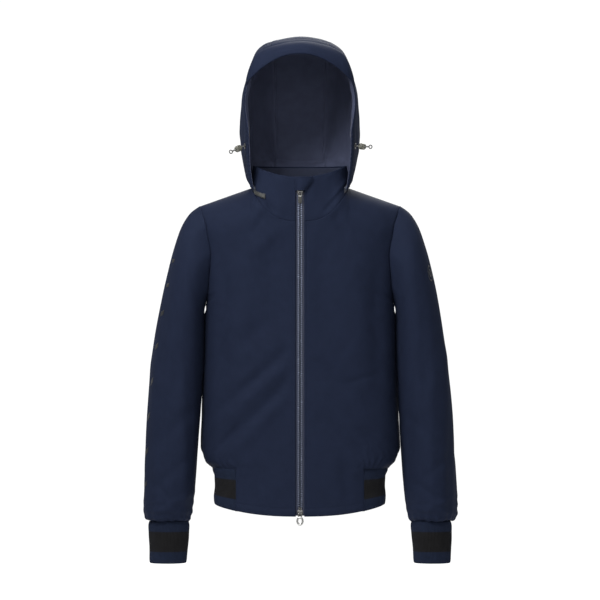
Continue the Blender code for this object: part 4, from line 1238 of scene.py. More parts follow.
# ---- body ----
EDGE_STITCH = 0.0042
HEM_STITCH = 0.0160
BODY_COLUMNS, BODY_ROWS, HEM_ROWS = 116, 300, 54
FRONT_FOLDS = {
    -1: (
        (-0.022, -0.305, -0.172, -0.432, 0.0130, -0.0026), (-0.030, -0.338, -0.168, -0.456, 0.0140, 0.0022),
        (-0.016, -0.362, -0.152, -0.492, 0.0130, -0.0024), (-0.030, -0.400, -0.140, -0.512, 0.0150, 0.0018),
        (-0.060, -0.250, -0.186, -0.330, 0.0200, -0.0016), (-0.150, -0.120, -0.158, -0.380, 0.0160, -0.0018),
        (-0.110, -0.110, -0.125, -0.300, 0.0260, 0.0022), (-0.055, -0.100, -0.045, -0.260, 0.0220, -0.0016),
        (-0.120, -0.452, -0.172, -0.508, 0.0080, -0.0018), (-0.062, -0.020, -0.096, -0.075, 0.0100, -0.0014),
        (-0.040, -0.062, -0.090, -0.110, 0.0140, 0.0014), (-0.080, -0.500, -0.092, -0.600, 0.0120, -0.0012),
    ),
    1: (
        (0.026, -0.330, 0.160, -0.420, 0.0180, -0.0018), (0.040, -0.372, 0.170, -0.470, 0.0180, 0.0016),
        (0.020, -0.430, 0.140, -0.520, 0.0150, -0.0018), (0.150, -0.130, 0.156, -0.400, 0.0160, -0.0018),
        (0.105, -0.110, 0.118, -0.310, 0.0260, 0.0022), (0.050, -0.110, 0.045, -0.280, 0.0220, -0.0015),
        (0.120, -0.462, 0.176, -0.505, 0.0080, -0.0018), (0.060, -0.020, 0.092, -0.080, 0.0100, -0.0014),
        (0.086, -0.376, 0.150, -0.352, 0.0080, -0.0010), (0.084, -0.500, 0.094, -0.600, 0.0120, -0.0012),
    ),
}
BACK_FOLDS = (
    (-0.120, -0.100, -0.090, -0.330, 0.0220, -0.0024), (0.118, -0.110, 0.095, -0.340, 0.0220, -0.0024),
    (-0.030, -0.180, -0.045, -0.420, 0.0240, 0.0022), (0.052, -0.200, 0.040, -0.450, 0.0240, 0.0020),
    (-0.165, -0.300, -0.060, -0.430, 0.0150, -0.0024), (0.168, -0.310, 0.060, -0.450, 0.0150, -0.0024),
    (-0.150, -0.380, -0.040, -0.490, 0.0150, 0.0018), (0.150, -0.390, 0.030, -0.500, 0.0150, 0.0018),
    (-0.090, -0.030, 0.090, -0.030, 0.0140, 0.0012),
)


def gathers(across, above, seed, pitch=0.0155, depth=0.0009, reach=0.034):
    """Small folds where cloth is gathered into a rib; above is the height over the rib."""
    wobble = drift(across, above, seed, 0.05, 0.55)
    fold = np.sin(2 * math.pi * across / pitch + wobble * 2 * math.pi)
    return depth * fold * np.exp(-((above / reach) ** 2)) * smoothstep(above, -0.002, 0.006)


# Where a sleeve hangs against the body, each bulges this far towards the other.
SIDE_FILL_Z = (-0.535, -0.520, -0.502, -0.480, -0.440, -0.400, -0.350, -0.260, -0.240, -0.225)
SIDE_FILL = (0, 0.0014, 0.0026, 0.0023, 0.0023, 0.0018, 0.0015, 0.0016, 0.0012, 0)


def filled(z):
    return np.interp(z, SIDE_FILL_Z, SIDE_FILL)


front_u = np.linspace(0, 1, BODY_COLUMNS + 1) ** 1.4
front_u = np.sort(np.concatenate([front_u, [front_u[1] * 0.2, front_u[1] * 0.5]]))
rib_u = column_at(RIB_FRONT_X, ZIP_GAP_HALF)
rib_column = int(np.argmin(abs(front_u - rib_u)))
front_u[rib_column] = rib_u
front_v = np.concatenate([np.linspace(-1, 0, HEM_ROWS + 1)[:-1], np.linspace(0, 1, BODY_ROWS + 1)])
front_grid = lattice(body_panel(-1, ZIP_GAP_HALF, 1), front_u, front_v)
cut = np.zeros((len(front_u) - 1, len(front_v) - 1), bool)
cut[rib_column:, :HEM_ROWS] = True
BODY_CORE = (0, 0, -0.3)
FRONT_FOLD_STRENGTH = 1.7
fronts = {}
for way, label in SIDES:
    grid = front_grid * (MIRROR if way < 0 else 1)
    x, z = grid[..., 0], grid[..., 2]
    from_zip, from_side, from_hem, from_top = edge_distances(grid)
    beside_rib = np.broadcast_to(np.arange(len(front_u))[:, None] >= rib_column, x.shape)
    above_rib = z - RIB_TOP_Z
    push = FRONT_FOLD_STRENGTH * creases(x, z, FRONT_FOLDS[way])
    push += drift(x, z * 0.45, 11 + way, 0.11, 0.0013)
    push += drift(x, z, 17 + way, 0.045, 0.00035)
    push *= smoothstep(from_zip, 0.002, 0.030) * smoothstep(from_top, 0.0, 0.02)
    push *= smoothstep(from_side, 0, 0.02)
    near_rib = smoothstep(abs(x), RIB_FRONT_X - 0.030, RIB_FRONT_X + 0.006)
    push += near_rib * (0.0012 * bump(above_rib, 0.022, 0.014) + gathers(x, above_rib, 5))
    push += np.where(beside_rib, tucked(abs(above_rib), 0.0014, 0.0040), 0)
    push += np.where(above_rib < 0, tucked(abs(abs(x) - RIB_FRONT_X), 0.0004, 0.0020), 0)
    push += filled(z) * np.exp(-((from_side / 0.030) ** 2)) + tucked(from_side, 0.0002, 0.0016)
    push += tucked(from_top, 0.0005, 0.0020) + tucked(from_hem, 0.0012, 0.0022)
    push += 0.0006 * bump(from_zip, 0.0022, 0.0018) + tucked(from_zip, 0.0009, 0.0011)
    push += groove(from_zip, EDGE_STITCH) + groove(from_side, EDGE_STITCH, 0.00012)
    push += np.where(abs(x) < RIB_FRONT_X, groove(from_hem, HEM_STITCH), 0)
    push += 0.0008 * bump(from_hem, 0.008, 0.006)
    fronts[way] = Cloth(
        f"shell_front_{label}", pushed(grid, BODY_CORE, push), SHELL_THICK, SOFTSHELL, BODY_CORE, cut_out=cut
    )
    settle(fronts[way].obj, "torso", "softshell", f"front_panel_{label}")
    rows = [
        inset_path(fronts[way], "u0", EDGE_STITCH),
        inset_path(fronts[way], "u1", EDGE_STITCH, HEM_ROWS / (len(front_v) - 1)),
        inset_path(fronts[way], "v1", EDGE_STITCH),
        inset_path(fronts[way], "v0", HEM_STITCH, 0, rib_column / (len(front_u) - 1)),
    ]
    sew(f"stitches_front_{label}", rows, "torso", "softshell")

half_u = np.linspace(0, 1, BODY_COLUMNS + 1) ** 1.25
back_u = np.concatenate([-half_u[:0:-1], half_u])
back_v = np.linspace(0, 1, BODY_ROWS + 1)
half_back = lattice(body_panel(1, 0.0, 1), back_u[BODY_COLUMNS:], back_v)
back_grid = np.concatenate([half_back[:0:-1] * MIRROR, half_back])
x, z = back_grid[..., 0], back_grid[..., 2]
from_right, from_left, from_rib, from_top = edge_distances(back_grid)
from_side = np.minimum(from_left, from_right)
push = creases(x, z, BACK_FOLDS) + drift(x, z * 0.5, 31, 0.12, 0.0018) + drift(x, z, 33, 0.05, 0.0004)
push *= smoothstep(from_side, 0, 0.025) * smoothstep(from_top, 0, 0.03)
push += 0.0015 * bump(from_rib, 0.022, 0.014) + gathers(x, from_rib, 7) + tucked(from_rib, 0.0014, 0.0040)
push += filled(z) * np.exp(-((from_side / 0.030) ** 2))
# Behind the sleeve the back bulges more, so that no light comes between them.
behind_sleeve = smoothstep(-z, 0.218, 0.238) * (1 - smoothstep(-z, 0.498, 0.525))
push += 0.0044 * behind_sleeve * bump(from_side, 0.021, 0.013)
push += tucked(from_side, 0.0002, 0.0016)
push += tucked(from_top, 0.0005, 0.0020) + groove(from_side, EDGE_STITCH, 0.00012)
back = Cloth("shell_back", pushed(back_grid, BODY_CORE, push), SHELL_THICK, SOFTSHELL, BODY_CORE)
settle(back.obj, "torso", "softshell", "back_panel")
sew("stitches_back", [inset_path(back, "v1", EDGE_STITCH)], "torso", "softshell")


def ribbed(along, pitch, depth):
    """Rounded ribs with narrow valleys between them."""
    return depth * (np.abs(np.sin(math.pi * along / pitch)) ** 0.7 - 1)


RIB_PITCH = 0.0030
RIB_DEPTH = 0.0009
HEM_BAND = (0.0200, 0.0540)  # the darker stripe, up from the rib's lower edge
CUFF_BAND = (0.0205, 0.0605)  # and down from the cuff's upper edge
HEM_KNIT = knit_shader("hem_knit", HEM_BAND, KNIT_COLOR, BAND_COLOR)
CUFF_KNIT = knit_shader("cuff_knit", CUFF_BAND, KNIT_COLOR, BAND_COLOR)
coarse = lattice(rib_surface, even(120), even(24))
rib_length = edge_distances(coarse)[0][-1, 12]
rib_count = round(rib_length / RIB_PITCH)
rib_grid = smooth_rows(coarse, rib_count * 6)
along, along_back, up, down = edge_distances(rib_grid)
push = ribbed(along / along[-1:] * rib_count, 1.0, RIB_DEPTH)
push += 0.0012 * bump(up, 0.012, 0.012) - 0.0012 * bump(up, 0.036, 0.012) + drift(along, up, 41, 0.10, 0.0010)
push += tucked(down, 0.0022, 0.0060) + tucked(up, 0.0006, 0.0020)
push -= 0.0026 * smoothstep(-np.minimum(along, along_back), -0.0050, -0.0022)
hem_rib = Cloth("knit_hem", pushed(rib_grid, BODY_CORE, push), 0.0034, HEM_KNIT, BODY_CORE)
settle(hem_rib.obj, "torso", "rib_knit", "hem_rib")

# Linings of the body.
for way, label in SIDES:
    lined = body_panel(-1, TAPE_HALF + 0.009, 1, LINING_HEM_Z, 4 * SEAM)
    grid = lattice(drawn_in(lined), np.linspace(0, 1, 41) ** 1.3, even(90)) * (MIRROR if way < 0 else 1)
    v = np.linspace(0, 1, grid.shape[1])[None, :]
    push = -0.0032 * v**3 + drift(grid[..., 0], grid[..., 2], 51 + way, 0.07, 0.0006) * (1 - v**4) - 0.0004
    lined = pushed(grid, BODY_CORE, push)
    cloth = Cloth(f"lining_front_{label}", lined, LINING_THICK, LINING_CLOTH, BODY_CORE)
    settle(cloth.obj, "torso", "lining", f"front_lining_{label}")
lined = drawn_in(body_panel(1, 0.0, 1, LINING_HEM_Z, 4 * SEAM))
lined = lattice(lined, np.linspace(0, 1, 41) ** 1.3, even(90))
grid = np.concatenate([lined[:0:-1] * MIRROR, lined])
push = drift(grid[..., 0], grid[..., 2], 57, 0.08, 0.0006) - 0.0008
cloth = Cloth("lining_back", pushed(grid, BODY_CORE, push), LINING_THICK, LINING_CLOTH, BODY_CORE)
settle(cloth.obj, "torso", "lining", "back_lining")


# ---- sleeves ----
SLEEVE_COLUMNS, SLEEVE_ROWS = 156, 290
SLEEVE_FOLDS = {
    -1: (
        (-0.222, -0.255, -0.262, -0.420, 0.0140, -0.0020), (-0.292, -0.330, -0.236, -0.455, 0.0140, 0.0018),
        (-0.212, -0.420, -0.292, -0.500, 0.0130, -0.0022), (-0.222, -0.520, -0.300, -0.585, 0.0110, -0.0022),
        (-0.300, -0.560, -0.236, -0.622, 0.0080, -0.0020), (-0.214, -0.590, -0.290, -0.632, 0.0070, 0.0020),
        (-0.235, -0.090, -0.222, -0.240, 0.0160, -0.0018),
    ),
    1: (
        (0.224, -0.250, 0.258, -0.400, 0.0140, -0.0020), (0.296, -0.300, 0.240, -0.440, 0.0140, 0.0018),
        (0.214, -0.440, 0.296, -0.505, 0.0130, -0.0022), (0.300, -0.515, 0.226, -0.580, 0.0100, -0.0024),
        (0.222, -0.572, 0.302, -0.606, 0.0080, -0.0026), (0.300, -0.600, 0.226, -0.634, 0.0070, 0.0022),
        (0.238, -0.090, 0.224, -0.240, 0.0160, -0.0018),
    ),
}
sleeve_u, sleeve_v = np.linspace(0, 1, SLEEVE_COLUMNS + 1), np.linspace(0, 1, SLEEVE_ROWS + 1)
sleeve_grid = lattice(sleeve_surface(1), sleeve_u, sleeve_v)
sleeve_grid[-1] = sleeve_grid[0]
sleeve_core = np.array([[(a + b) / 2 for a, b, _ in [sleeve_station(v)]] for v in sleeve_v])[0]
sleeves, cuffs = {}, {}
for way, label in SIDES:
    side = MIRROR if way < 0 else 1
    grid, core = sleeve_grid * side, sleeve_core * side
    x, z = grid[..., 0], grid[..., 2]
    turn = 2 * math.pi * sleeve_u[:, None] * np.ones_like(z)
    _, _, from_armhole, from_cuff = edge_distances(grid)
    ring = np.sin(turn + 0.8 * way) + 0.5 * np.sin(2 * turn + 1.7)
    push = creases(x, z, SLEEVE_FOLDS[way])
    push += 0.0016 * np.sin(turn * 3 + from_armhole * 9 + way) * smoothstep(from_armhole, 0.06, 0.30)
    push += 0.0011 * np.sin(turn * 5 - from_armhole * 13 + 2 * way) * smoothstep(from_armhole, 0.10, 0.40)
    push += 0.0005 * np.sin(turn * 9 + from_armhole * 21) * smoothstep(from_armhole, 0.05, 0.3)
    push *= smoothstep(from_armhole, 0.0, 0.03)
    rumple = np.sin(2 * math.pi * from_cuff / 0.019 + 1.3 * ring) * (0.7 + 0.3 * np.sin(3 * turn + way))
    push += 0.0010 * rumple * bump(from_cuff, 0.014, 0.030) * smoothstep(from_cuff, 0.0, 0.012)
    push += 0.0008 * np.sin(turn * 17) * bump(from_cuff, 0.006, 0.014)
    towards = np.clip((core[None, :, 0] - x) * way, 0, None)
    push += filled(z) * (towards / np.maximum(towards.max(0), 0.001)) ** 4
    push += tucked(from_armhole, 0.0002, 0.0016) + groove(from_armhole, EDGE_STITCH, 0.00012)
    push += tucked(from_cuff, 0.0010, 0.0035)
    sleeves[way] = Cloth(
        f"shell_sleeve_{label}", pushed(grid, core, push, True), SHELL_THICK, SOFTSHELL, core, True
    )
    moves = f"sleeve_{label}"
    settle(sleeves[way].obj, moves + "~", "softshell", f"sleeve_{label}")
    rows = [inset_path(sleeves[way], "v0", EDGE_STITCH)]
    sew(f"stitches_sleeve_{label}", rows, moves + "~", "softshell")
    grid = lattice(sleeve_surface(1, 0.87), even(80), even(110, 0.03, 0.985))
    grid[-1] = grid[0]
    core_in = np.array([sum(sleeve_station(v)[:2], Vector()) / 2 for v in even(110, 0.03, 0.985)])
    turn = 2 * math.pi * np.linspace(0, 1, 81)[:, None]
    push = -0.0012 + 0.0008 * np.sin(4 * turn + grid[..., 2] * 30)
    cloth = Cloth(f"lining_sleeve_{label}", pushed(grid, core_in, push, True) * side, 0.0008, LINING_CLOTH,
                  core_in * side, True)
    settle(cloth.obj, moves + "~", "lining", f"sleeve_lining_{label}")

    coarse = lattice(cuff_surface(1), even(96), even(34))
    coarse[-1] = coarse[0]
    cuff_length = np.linalg.norm(np.diff(coarse[:, 17], axis=0), axis=1).sum()
    count = round(cuff_length / RIB_PITCH)
    angles = np.linspace(0, 1, count * 6 + 1)
    grid = lattice(cuff_surface(1), angles, even(34)) * side
    grid[-1] = grid[0]
    _, _, down, up = edge_distances(grid)
    turn = 2 * math.pi * angles[:, None] * np.ones_like(down)
    core = grid.mean(0)
    push = ribbed(angles[:, None] * count, 1.0, RIB_DEPTH)
    push = push + 0.0009 * np.sin(3 * turn + way) * bump(down, 0.045, 0.025)
    push += 0.0012 * np.sin(2 * turn + 1.2) * bump(down, 0.030, 0.018) + tucked(up, 0.0007, 0.0025)
    push += 0.0010 * bump(down, 0.010, 0.010) + tucked(down, 0.0012, 0.0040)
    cuffs[way] = Cloth(f"knit_cuff_{label}", pushed(grid, core, push, True), 0.0032, CUFF_KNIT, core, True)
    settle(cuffs[way].obj, moves, "rib_knit", f"cuff_{label}")


def patch(name, cloth, shape, material, us, vs, thick=0.00022, lift=0.00030, wraps=False):
    """A thin film on a cloth; shape(u, v) gives metres across and up from grid place (0, 0)."""
    places = [[shape(u, v) for v in vs] for u in us]
    grid = np.array([[(lambda p, n: p + n * lift)(*cloth.at(*place)) for place in row] for row in places])
    if wraps:
        grid[-1] = grid[0]
    middle = cloth.at(*np.mean(np.array(places).reshape(-1, 2), 0))
    return Cloth(name, grid, thick, material, middle[0] - middle[1] * 0.05, wraps)


# Prints: slanted bars down one sleeve and two rings on the other.
PRINT_U = 0.925
BAR_PLACES = (0.262, 0.335, 0.408, 0.481, 0.554, 0.627, 0.700, 0.773)
bars = []
cloth = sleeves[-1]
metres_u = cloth.u_m[-1] / SLEEVE_COLUMNS
metres_v = cloth.v_m[-1] / SLEEVE_ROWS
for index, place in enumerate(BAR_PLACES):
    half_across, half_up, slant = 0.0062, 0.0030, 0.0060

    def bar(u, v):
        across = (u - 0.5) * 2 * half_across
        up = (v - 0.5) * 2 * half_up + (u - 0.5) * slant
        return PRINT_U * SLEEVE_COLUMNS + across / metres_u, place * SLEEVE_ROWS + up / metres_v
    bars.append(patch("bar", cloth, bar, PRINT_FILM, even(8), even(5)).obj)
settle(joined("print_bars", bars), "sleeve_right~", "softshell")
cloth = sleeves[1]
RING_PLACE = 0.300


def ring_patch(inner, outer):
    def shape(u, v):
        turn = 2 * math.pi * u
        r = inner + (outer - inner) * v
        return (PRINT_U * SLEEVE_COLUMNS + r * 0.9 * math.cos(turn) / metres_u,
                RING_PLACE * SLEEVE_ROWS + r * math.sin(turn) / metres_v)
    return shape


rings = [
    patch("ring", cloth, ring_patch(inner, outer), PRINT_FILM, even(round_it), even(2), wraps=True).obj
    for inner, outer, round_it in ((0.0105, 0.0125, 48), (0.0030, 0.0062, 32))
]
settle(joined("print_ring", rings), "sleeve_left~", "softshell")


# ---- collar ----
collar_u, collar_v = even(280), even(44)
collar = collar_surface(ZIP_GAP_HALF)
grid = lattice(collar, collar_u, collar_v)
x, z = grid[..., 0], grid[..., 2]
ends, ends_back, from_foot, from_top = edge_distances(grid)
from_zip = np.minimum(ends, ends_back)
COLLAR_CORE = (0, -0.01, 0.02)
COLLAR_FOLDS = (
    (-0.094, 0.030, -0.066, -0.012, 0.0050, 0.0022), (-0.086, 0.016, -0.052, -0.030, 0.0045, -0.0020),
    (0.094, 0.034, 0.062, -0.010, 0.0050, 0.0022), (0.086, 0.018, 0.050, -0.028, 0.0045, -0.0020),
    (-0.048, 0.036, -0.040, -0.034, 0.0120, 0.0012), (0.046, 0.036, 0.038, -0.036, 0.0120, 0.0012),
)
push = np.where(grid[..., 1] < 0, creases(x, z, COLLAR_FOLDS), 0) + drift(x * 1.5, z, 61, 0.06, 0.0008)
push *= smoothstep(from_zip, 0.0, 0.02) * smoothstep(from_foot, 0.0, 0.008) * smoothstep(from_top, 0.0, 0.008)
push += tucked(from_foot, 0.0006, 0.0022) + tucked(from_top, 0.0010, 0.0024) + groove(from_top, EDGE_STITCH)
push += 0.0006 * bump(from_zip, 0.0022, 0.0018) + tucked(from_zip, 0.0009, 0.0011)
push += groove(from_zip, EDGE_STITCH)
collar_cloth = Cloth("shell_collar", pushed(grid, COLLAR_CORE, push), SHELL_THICK, SOFTSHELL, COLLAR_CORE)
settle(collar_cloth.obj, "torso", "softshell", "collar_outer")
rows = [inset_path(collar_cloth, edge, EDGE_STITCH) for edge in ("v1", "u0", "u1")]
sew("stitches_collar", rows, "torso", "softshell")
grid = lattice(collar_surface(TAPE_HALF + 0.007, 0.945, 0.93, 0.002), even(180), even(26, 0.06, 0.97))
push = drift(grid[..., 0] * 2, grid[..., 2], 67, 0.05, 0.0005) - 0.0004
cloth = Cloth("lining_collar", pushed(grid, COLLAR_CORE, push), LINING_THICK, LINING_CLOTH, COLLAR_CORE)
settle(cloth.obj, "torso", "lining", "collar_lining")

# The tape of the zip that the hood fastens to, with its fine chain of teeth.
tape_u = even(220, 5 / 30, 25 / 30)
grid = lattice(collar, tape_u, even(6, 0.10, 0.30))
grid = grid + normals_of(grid, COLLAR_CORE) * 0.0028
hood_tape = Cloth("hood_tape", grid, 0.0010, WEBBING, COLLAR_CORE)
settle(hood_tape.obj, "torso", "webbing", "hood_zip_tape")
path, normals = hood_tape.line((0, 4.6), (220, 4.6), 700)
settle(stitches("hood_chain", [(path, normals)], TEETH, 0.0005, 0.62, 0.0008, 0.0021), "torso", "zip_teeth")

HOOD_PULL_ROUND = (0.832, 0.884)
HOOD_PULL_OUT = (0.0040, 0.0032)


def hood_pull_surface(u, v):
    turn_share = HOOD_PULL_ROUND[0] + (HOOD_PULL_ROUND[1] - HOOD_PULL_ROUND[0]) * u
    return collar(turn_share, 0.06 + 0.18 * u + 0.12 * v)


grid = lattice(hood_pull_surface, even(36), even(14))
out = HOOD_PULL_OUT[0] + (HOOD_PULL_OUT[1] - HOOD_PULL_OUT[0]) * np.linspace(0, 1, 37)[:, None]
width = np.linspace(-1, 1, 15)[None, :]
lift = out + 0.0004 * (1 - width**2)
hood_pull = Cloth("hood_pull_tab", pushed(grid, COLLAR_CORE, lift), 0.0016, PULL_TAB_CLOTH, COLLAR_CORE)
settle(hood_pull.obj, "torso", "webbing", "hood_zip_pull")
rows = [hood_pull.line((1, k), (35, k), 60) for k in (2, 12)]
rows += [hood_pull.line((i, 2), (i, 12), 24) for i in (26, 34)]
sew("stitches_pull_tab", rows, "torso", "webbing", step=0.0018)

# Inside the back neck: the loop to hang the jacket by, and a blank label.
LOOP_HALF, LOOP_FRONT, LOOP_BACK, LOOP_LOW, LOOP_HIGH, STRAP = 0.030, 0.0530, 0.0640, 0.026, 0.032, 0.0015
bend = 0.0030
loop_line = []
for x0, y0, x1, y1 in (
    (-LOOP_HALF, LOOP_BACK, -LOOP_HALF, LOOP_FRONT + bend),
    (-LOOP_HALF + bend, LOOP_FRONT, LOOP_HALF - bend, LOOP_FRONT),
    (LOOP_HALF, LOOP_FRONT + bend, LOOP_HALF, LOOP_BACK),
):
    loop_line += [(x0 + (x1 - x0) * i / 14, y0 + (y1 - y0) * i / 14) for i in range(15)]
heights = np.linspace(LOOP_LOW, LOOP_HIGH, 9)
grid = np.array([[(px, py + (0.0002 * math.sin(px * 260)), h) for h in heights] for px, py in loop_line])
loop = Cloth("hanger", grid, STRAP, WEBBING, (0, 0.30, 0.029))
settle(loop.obj, "torso", "webbing", "hanger_loop")
grid = np.array([[(px, 0.0702 - 0.0004 * math.cos(px * 90), h) for h in np.linspace(-0.045, -0.012, 22)]
                 for px in np.linspace(-0.022, 0.022, 30)])
label_cloth = Cloth("label", grid, 0.0007, LABEL, (0, 0.30, -0.03))
settle(label_cloth.obj, "torso", "lining", "neck_label")
corners = ((1.2, 1), (1.2, 20)), ((27.8, 1), (27.8, 20)), ((1.2, 20), (27.8, 20)), ((1.2, 1), (27.8, 1))
rows = [label_cloth.line(start, end, 60) for start, end in corners]
sew("stitches_label", rows, "torso", "lining", step=0.0020)


# ---- hood ----
HOOD_CORE = (0, 0.03, 0.15)
TUNNEL_STITCH = 0.0250
HOOD_COLUMNS, HOOD_ROWS = 120, 150
hood_u, hood_v = even(HOOD_COLUMNS), even(HOOD_ROWS)
side_grid = lattice(side_surface(1), hood_u, hood_v)
HOOD_FOLDS = (
    (0.020, 0.240, 0.105, 0.130, 0.0140, -0.0020), (0.050, 0.100, 0.128, 0.160, 0.0110, -0.0018),
    (-0.030, 0.180, 0.070, 0.060, 0.0120, 0.0018), (0.030, 0.062, 0.110, 0.078, 0.0060, -0.0020),
    (0.010, 0.090, 0.100, 0.110, 0.0090, 0.0016), (-0.060, 0.150, -0.020, 0.070, 0.0100, -0.0014),
)


def hood_push(grid, seed, eyelet):
    """Creases over y and z, turned edges and the tunnel for the drawcord."""
    y, z = grid[..., 1], grid[..., 2]
    front, rear, top, foot = edge_distances(grid)
    push = creases(y, z, HOOD_FOLDS) + drift(y, z, seed, 0.09, 0.0010)
    push *= smoothstep(front, 0.012, 0.040) * smoothstep(top, 0, 0.014) * smoothstep(foot, 0.0, 0.012)
    push *= smoothstep(rear, 0.0, 0.012)
    push += 0.0010 * bump(front, TUNNEL_STITCH / 2, 0.009) + groove(front, TUNNEL_STITCH, 0.0007, 0.0016)
    push += tucked(top, 0.0005, 0.0020) + tucked(front, 0.0008, 0.0022) + tucked(rear, 0.0010)
    push += groove(top, EDGE_STITCH, 0.0004) + tucked(foot, 0.0008, 0.0030)
    gather = np.sin(z / 0.0085 * 2 * math.pi + 3 * y)
    push += 0.0008 * gather * np.exp(-(front / 0.020) ** 2) * smoothstep(-z, -0.20, -0.09)
    near = np.linalg.norm(grid - np.array(eyelet), axis=2)
    return push * smoothstep(near, 0.004, 0.016)


EYELET_CLEAR = 0.0046  # from the eyelet's middle to the cloth round it
hood_sides = {}
for way, label in SIDES:
    frame_of_eyelet, place, outwards = eyelet_frame(way)
    grid = side_grid * (MIRROR if way < 0 else 1)
    push = hood_push(grid, 71 + way, place)
    # The eyelet's hole: the cloth stops short of it all round.
    moved = pushed(grid, HOOD_CORE, push)
    hole = np.zeros((HOOD_COLUMNS, HOOD_ROWS), bool)
    cell = (moved[:-1, :-1] + moved[1:, 1:] + moved[:-1, 1:] + moved[1:, :-1]) / 4
    hole[np.linalg.norm(cell - np.array(place), axis=2) < EYELET_CLEAR] = True
    hood_sides[way] = Cloth(f"shell_hood_{label}", moved, HOOD_THICK, SOFTSHELL, HOOD_CORE, cut_out=hole)
    settle(hood_sides[way].obj, "hood~", "softshell", f"hood_side_{label}")
    rows = [inset_path(hood_sides[way], "u0", TUNNEL_STITCH), inset_path(hood_sides[way], "v0", EDGE_STITCH)]
    sew(f"stitches_hood_{label}", rows, "hood~", "softshell")

strip_u, strip_v = even(72), even(190)
grid = lattice(strip_surface, strip_u, strip_v)
grid[..., 0] *= 1 + 0.05 * smoothstep(np.array(strip_v)[None, :], 0.90, 0.94)
left, right, front, nape = edge_distances(grid)
from_seam = np.minimum(left, right)
push = drift(grid[..., 0], grid[..., 1] + grid[..., 2], 81, 0.10, 0.0010) * smoothstep(from_seam, 0, 0.02)
push += -0.0018 * bump(nape, 0.030, 0.006) + 0.0016 * bump(nape, 0.018, 0.007)
push += tucked(from_seam, 0.0005, 0.0020) + groove(from_seam, EDGE_STITCH, 0.0003)
push += tucked(front, 0.0010, 0.0024)
push += 0.0008 * bump(front, TUNNEL_STITCH / 2, 0.009) + groove(front, TUNNEL_STITCH, 0.0006, 0.0016)
hood_middle = Cloth("shell_hood_middle", pushed(grid, HOOD_CORE, push), HOOD_THICK, SOFTSHELL, HOOD_CORE)
settle(hood_middle.obj, "hood~", "softshell", "hood_middle_panel")
rows = [inset_path(hood_middle, edge, EDGE_STITCH) for edge in ("u0", "u1")]
rows.append(inset_path(hood_middle, "v0", TUNNEL_STITCH))
sew("stitches_hood_middle", rows, "hood~", "softshell")

BRIM_CORE = (0, -0.06, 0.20)
grid = lattice(brim_surface, even(150), even(22))
left, right, seam, edge = edge_distances(grid)
push = 0.0008 * bump(seam, 0.010, 0.008) + tucked(seam, 0.0010, 0.0022) + tucked(edge, 0.0006, 0.0018)
push += groove(edge, 0.0050, 0.0004) + drift(grid[..., 0], grid[..., 1], 83, 0.08, 0.0006)
brim = Cloth("shell_brim", pushed(grid, BRIM_CORE, push), 0.0026, SOFTSHELL, BRIM_CORE)
settle(brim.obj, "hood", "softshell", "hood_brim")
rows = [inset_path(brim, "v1", 0.0050, 0.03, 0.97), inset_path(brim, "v0", 0.0030, 0.02, 0.98)]
sew("stitches_brim", rows, "hood", "softshell")


def hood_inset(v):
    return 0.0085 - 0.0055 * np.maximum((v - 0.6) / 0.4, 0)


def strip_inset(v):
    return 0.0085 - 0.0050 * np.maximum((v - 0.85) / 0.15, 0)


# Linings: they meet the shell at the front edge and hang a little off it behind.
lining_u, lining_v = even(90), even(100)
coarse_v = np.linspace(0, 1, 101)[None, :]
for way, label in SIDES:
    grid = lattice(side_surface(1), lining_u, lining_v) * (MIRROR if way < 0 else 1)
    y, z = grid[..., 1], grid[..., 2]
    front, rear, top, foot = edge_distances(grid)
    close = smoothstep(front, 0.001, 0.014)
    inset = 0.0022 + (hood_inset(coarse_v) - 0.0022) * close
    push = -inset - 0.0007 * np.sin(z * 130 + y * 40) * bump(front, 0.05, 0.04)
    push = push - 0.0006 * drift(y, z, 91 + way, 0.05, 1.0)
    push += -0.0018 * bump((z - 0.060) - 0.25 * (y - 0.02), 0, 0.006) * smoothstep(y, -0.02, 0.05)
    push += tucked(top, 0.0010, 0.0026)
    lined = pushed(grid, HOOD_CORE, push)
    cloth = Cloth(f"lining_hood_{label}", lined, HOOD_LINING_THICK, HOOD_LINING_PAINTED_LIGHT, HOOD_CORE)
    settle(cloth.obj, "hood~", "lining", f"hood_lining_{label}")
grid = lattice(strip_surface, even(60), even(150))
along = np.linspace(0, 1, 151)[None, :]
grid[..., 0] *= 1 + 0.09 * smoothstep(along, 0.84, 0.92)
left, right, front, nape = edge_distances(grid)
from_seam = np.minimum(left, right)
close = smoothstep(front, 0.001, 0.014)
push = -(0.0022 + (strip_inset(along) - 0.0022) * close)
push += -0.0007 * drift(grid[..., 0], grid[..., 2], 97, 0.06, 1.0) + tucked(from_seam, 0.0010, 0.0026)
push += -0.0022 * bump(nape, 0.026, 0.004) - 0.0014 * bump(nape, 0.040, 0.005)
cloth = Cloth("lining_hood_middle", pushed(grid, HOOD_CORE, push), HOOD_LINING_THICK, HOOD_LINING_PAINTED_LIGHT, HOOD_CORE)
settle(cloth.obj, "hood~", "lining", "hood_middle_lining")


# ---- front zip ----
ZIP_LENGTH = (ZIP_HEAD - ZIP_FOOT).length
ZIP = zip_frame()
TAPE_FRONT = 0.0038
CHAIN_START, CHAIN_END = 0.0185, ZIP_LENGTH - 0.009
TOOTH_PITCH = 0.0036
CHAIN_FRONT, CHAIN_BACK = 0.0006, 0.0035
OPEN_MID = 0.0008  # half the gap between the chains, as far as the teeth's heads are concerned


def zip_sheet(name, xs, y_of, ss, thick, material, node):
    """A flat strip in the zip's own frame, y inwards."""
    grid = np.array([[ZIP @ Vector((x, y_of(x, s), s)) for s in ss] for x in xs])
    cloth = Cloth(name, grid, thick, material, tuple(ZIP @ Vector((0, 0.5, ZIP_LENGTH / 2))))
    settle(cloth.obj, "torso", "zip_tape" if node.startswith("zip_tape") else "softshell", node)
    return cloth


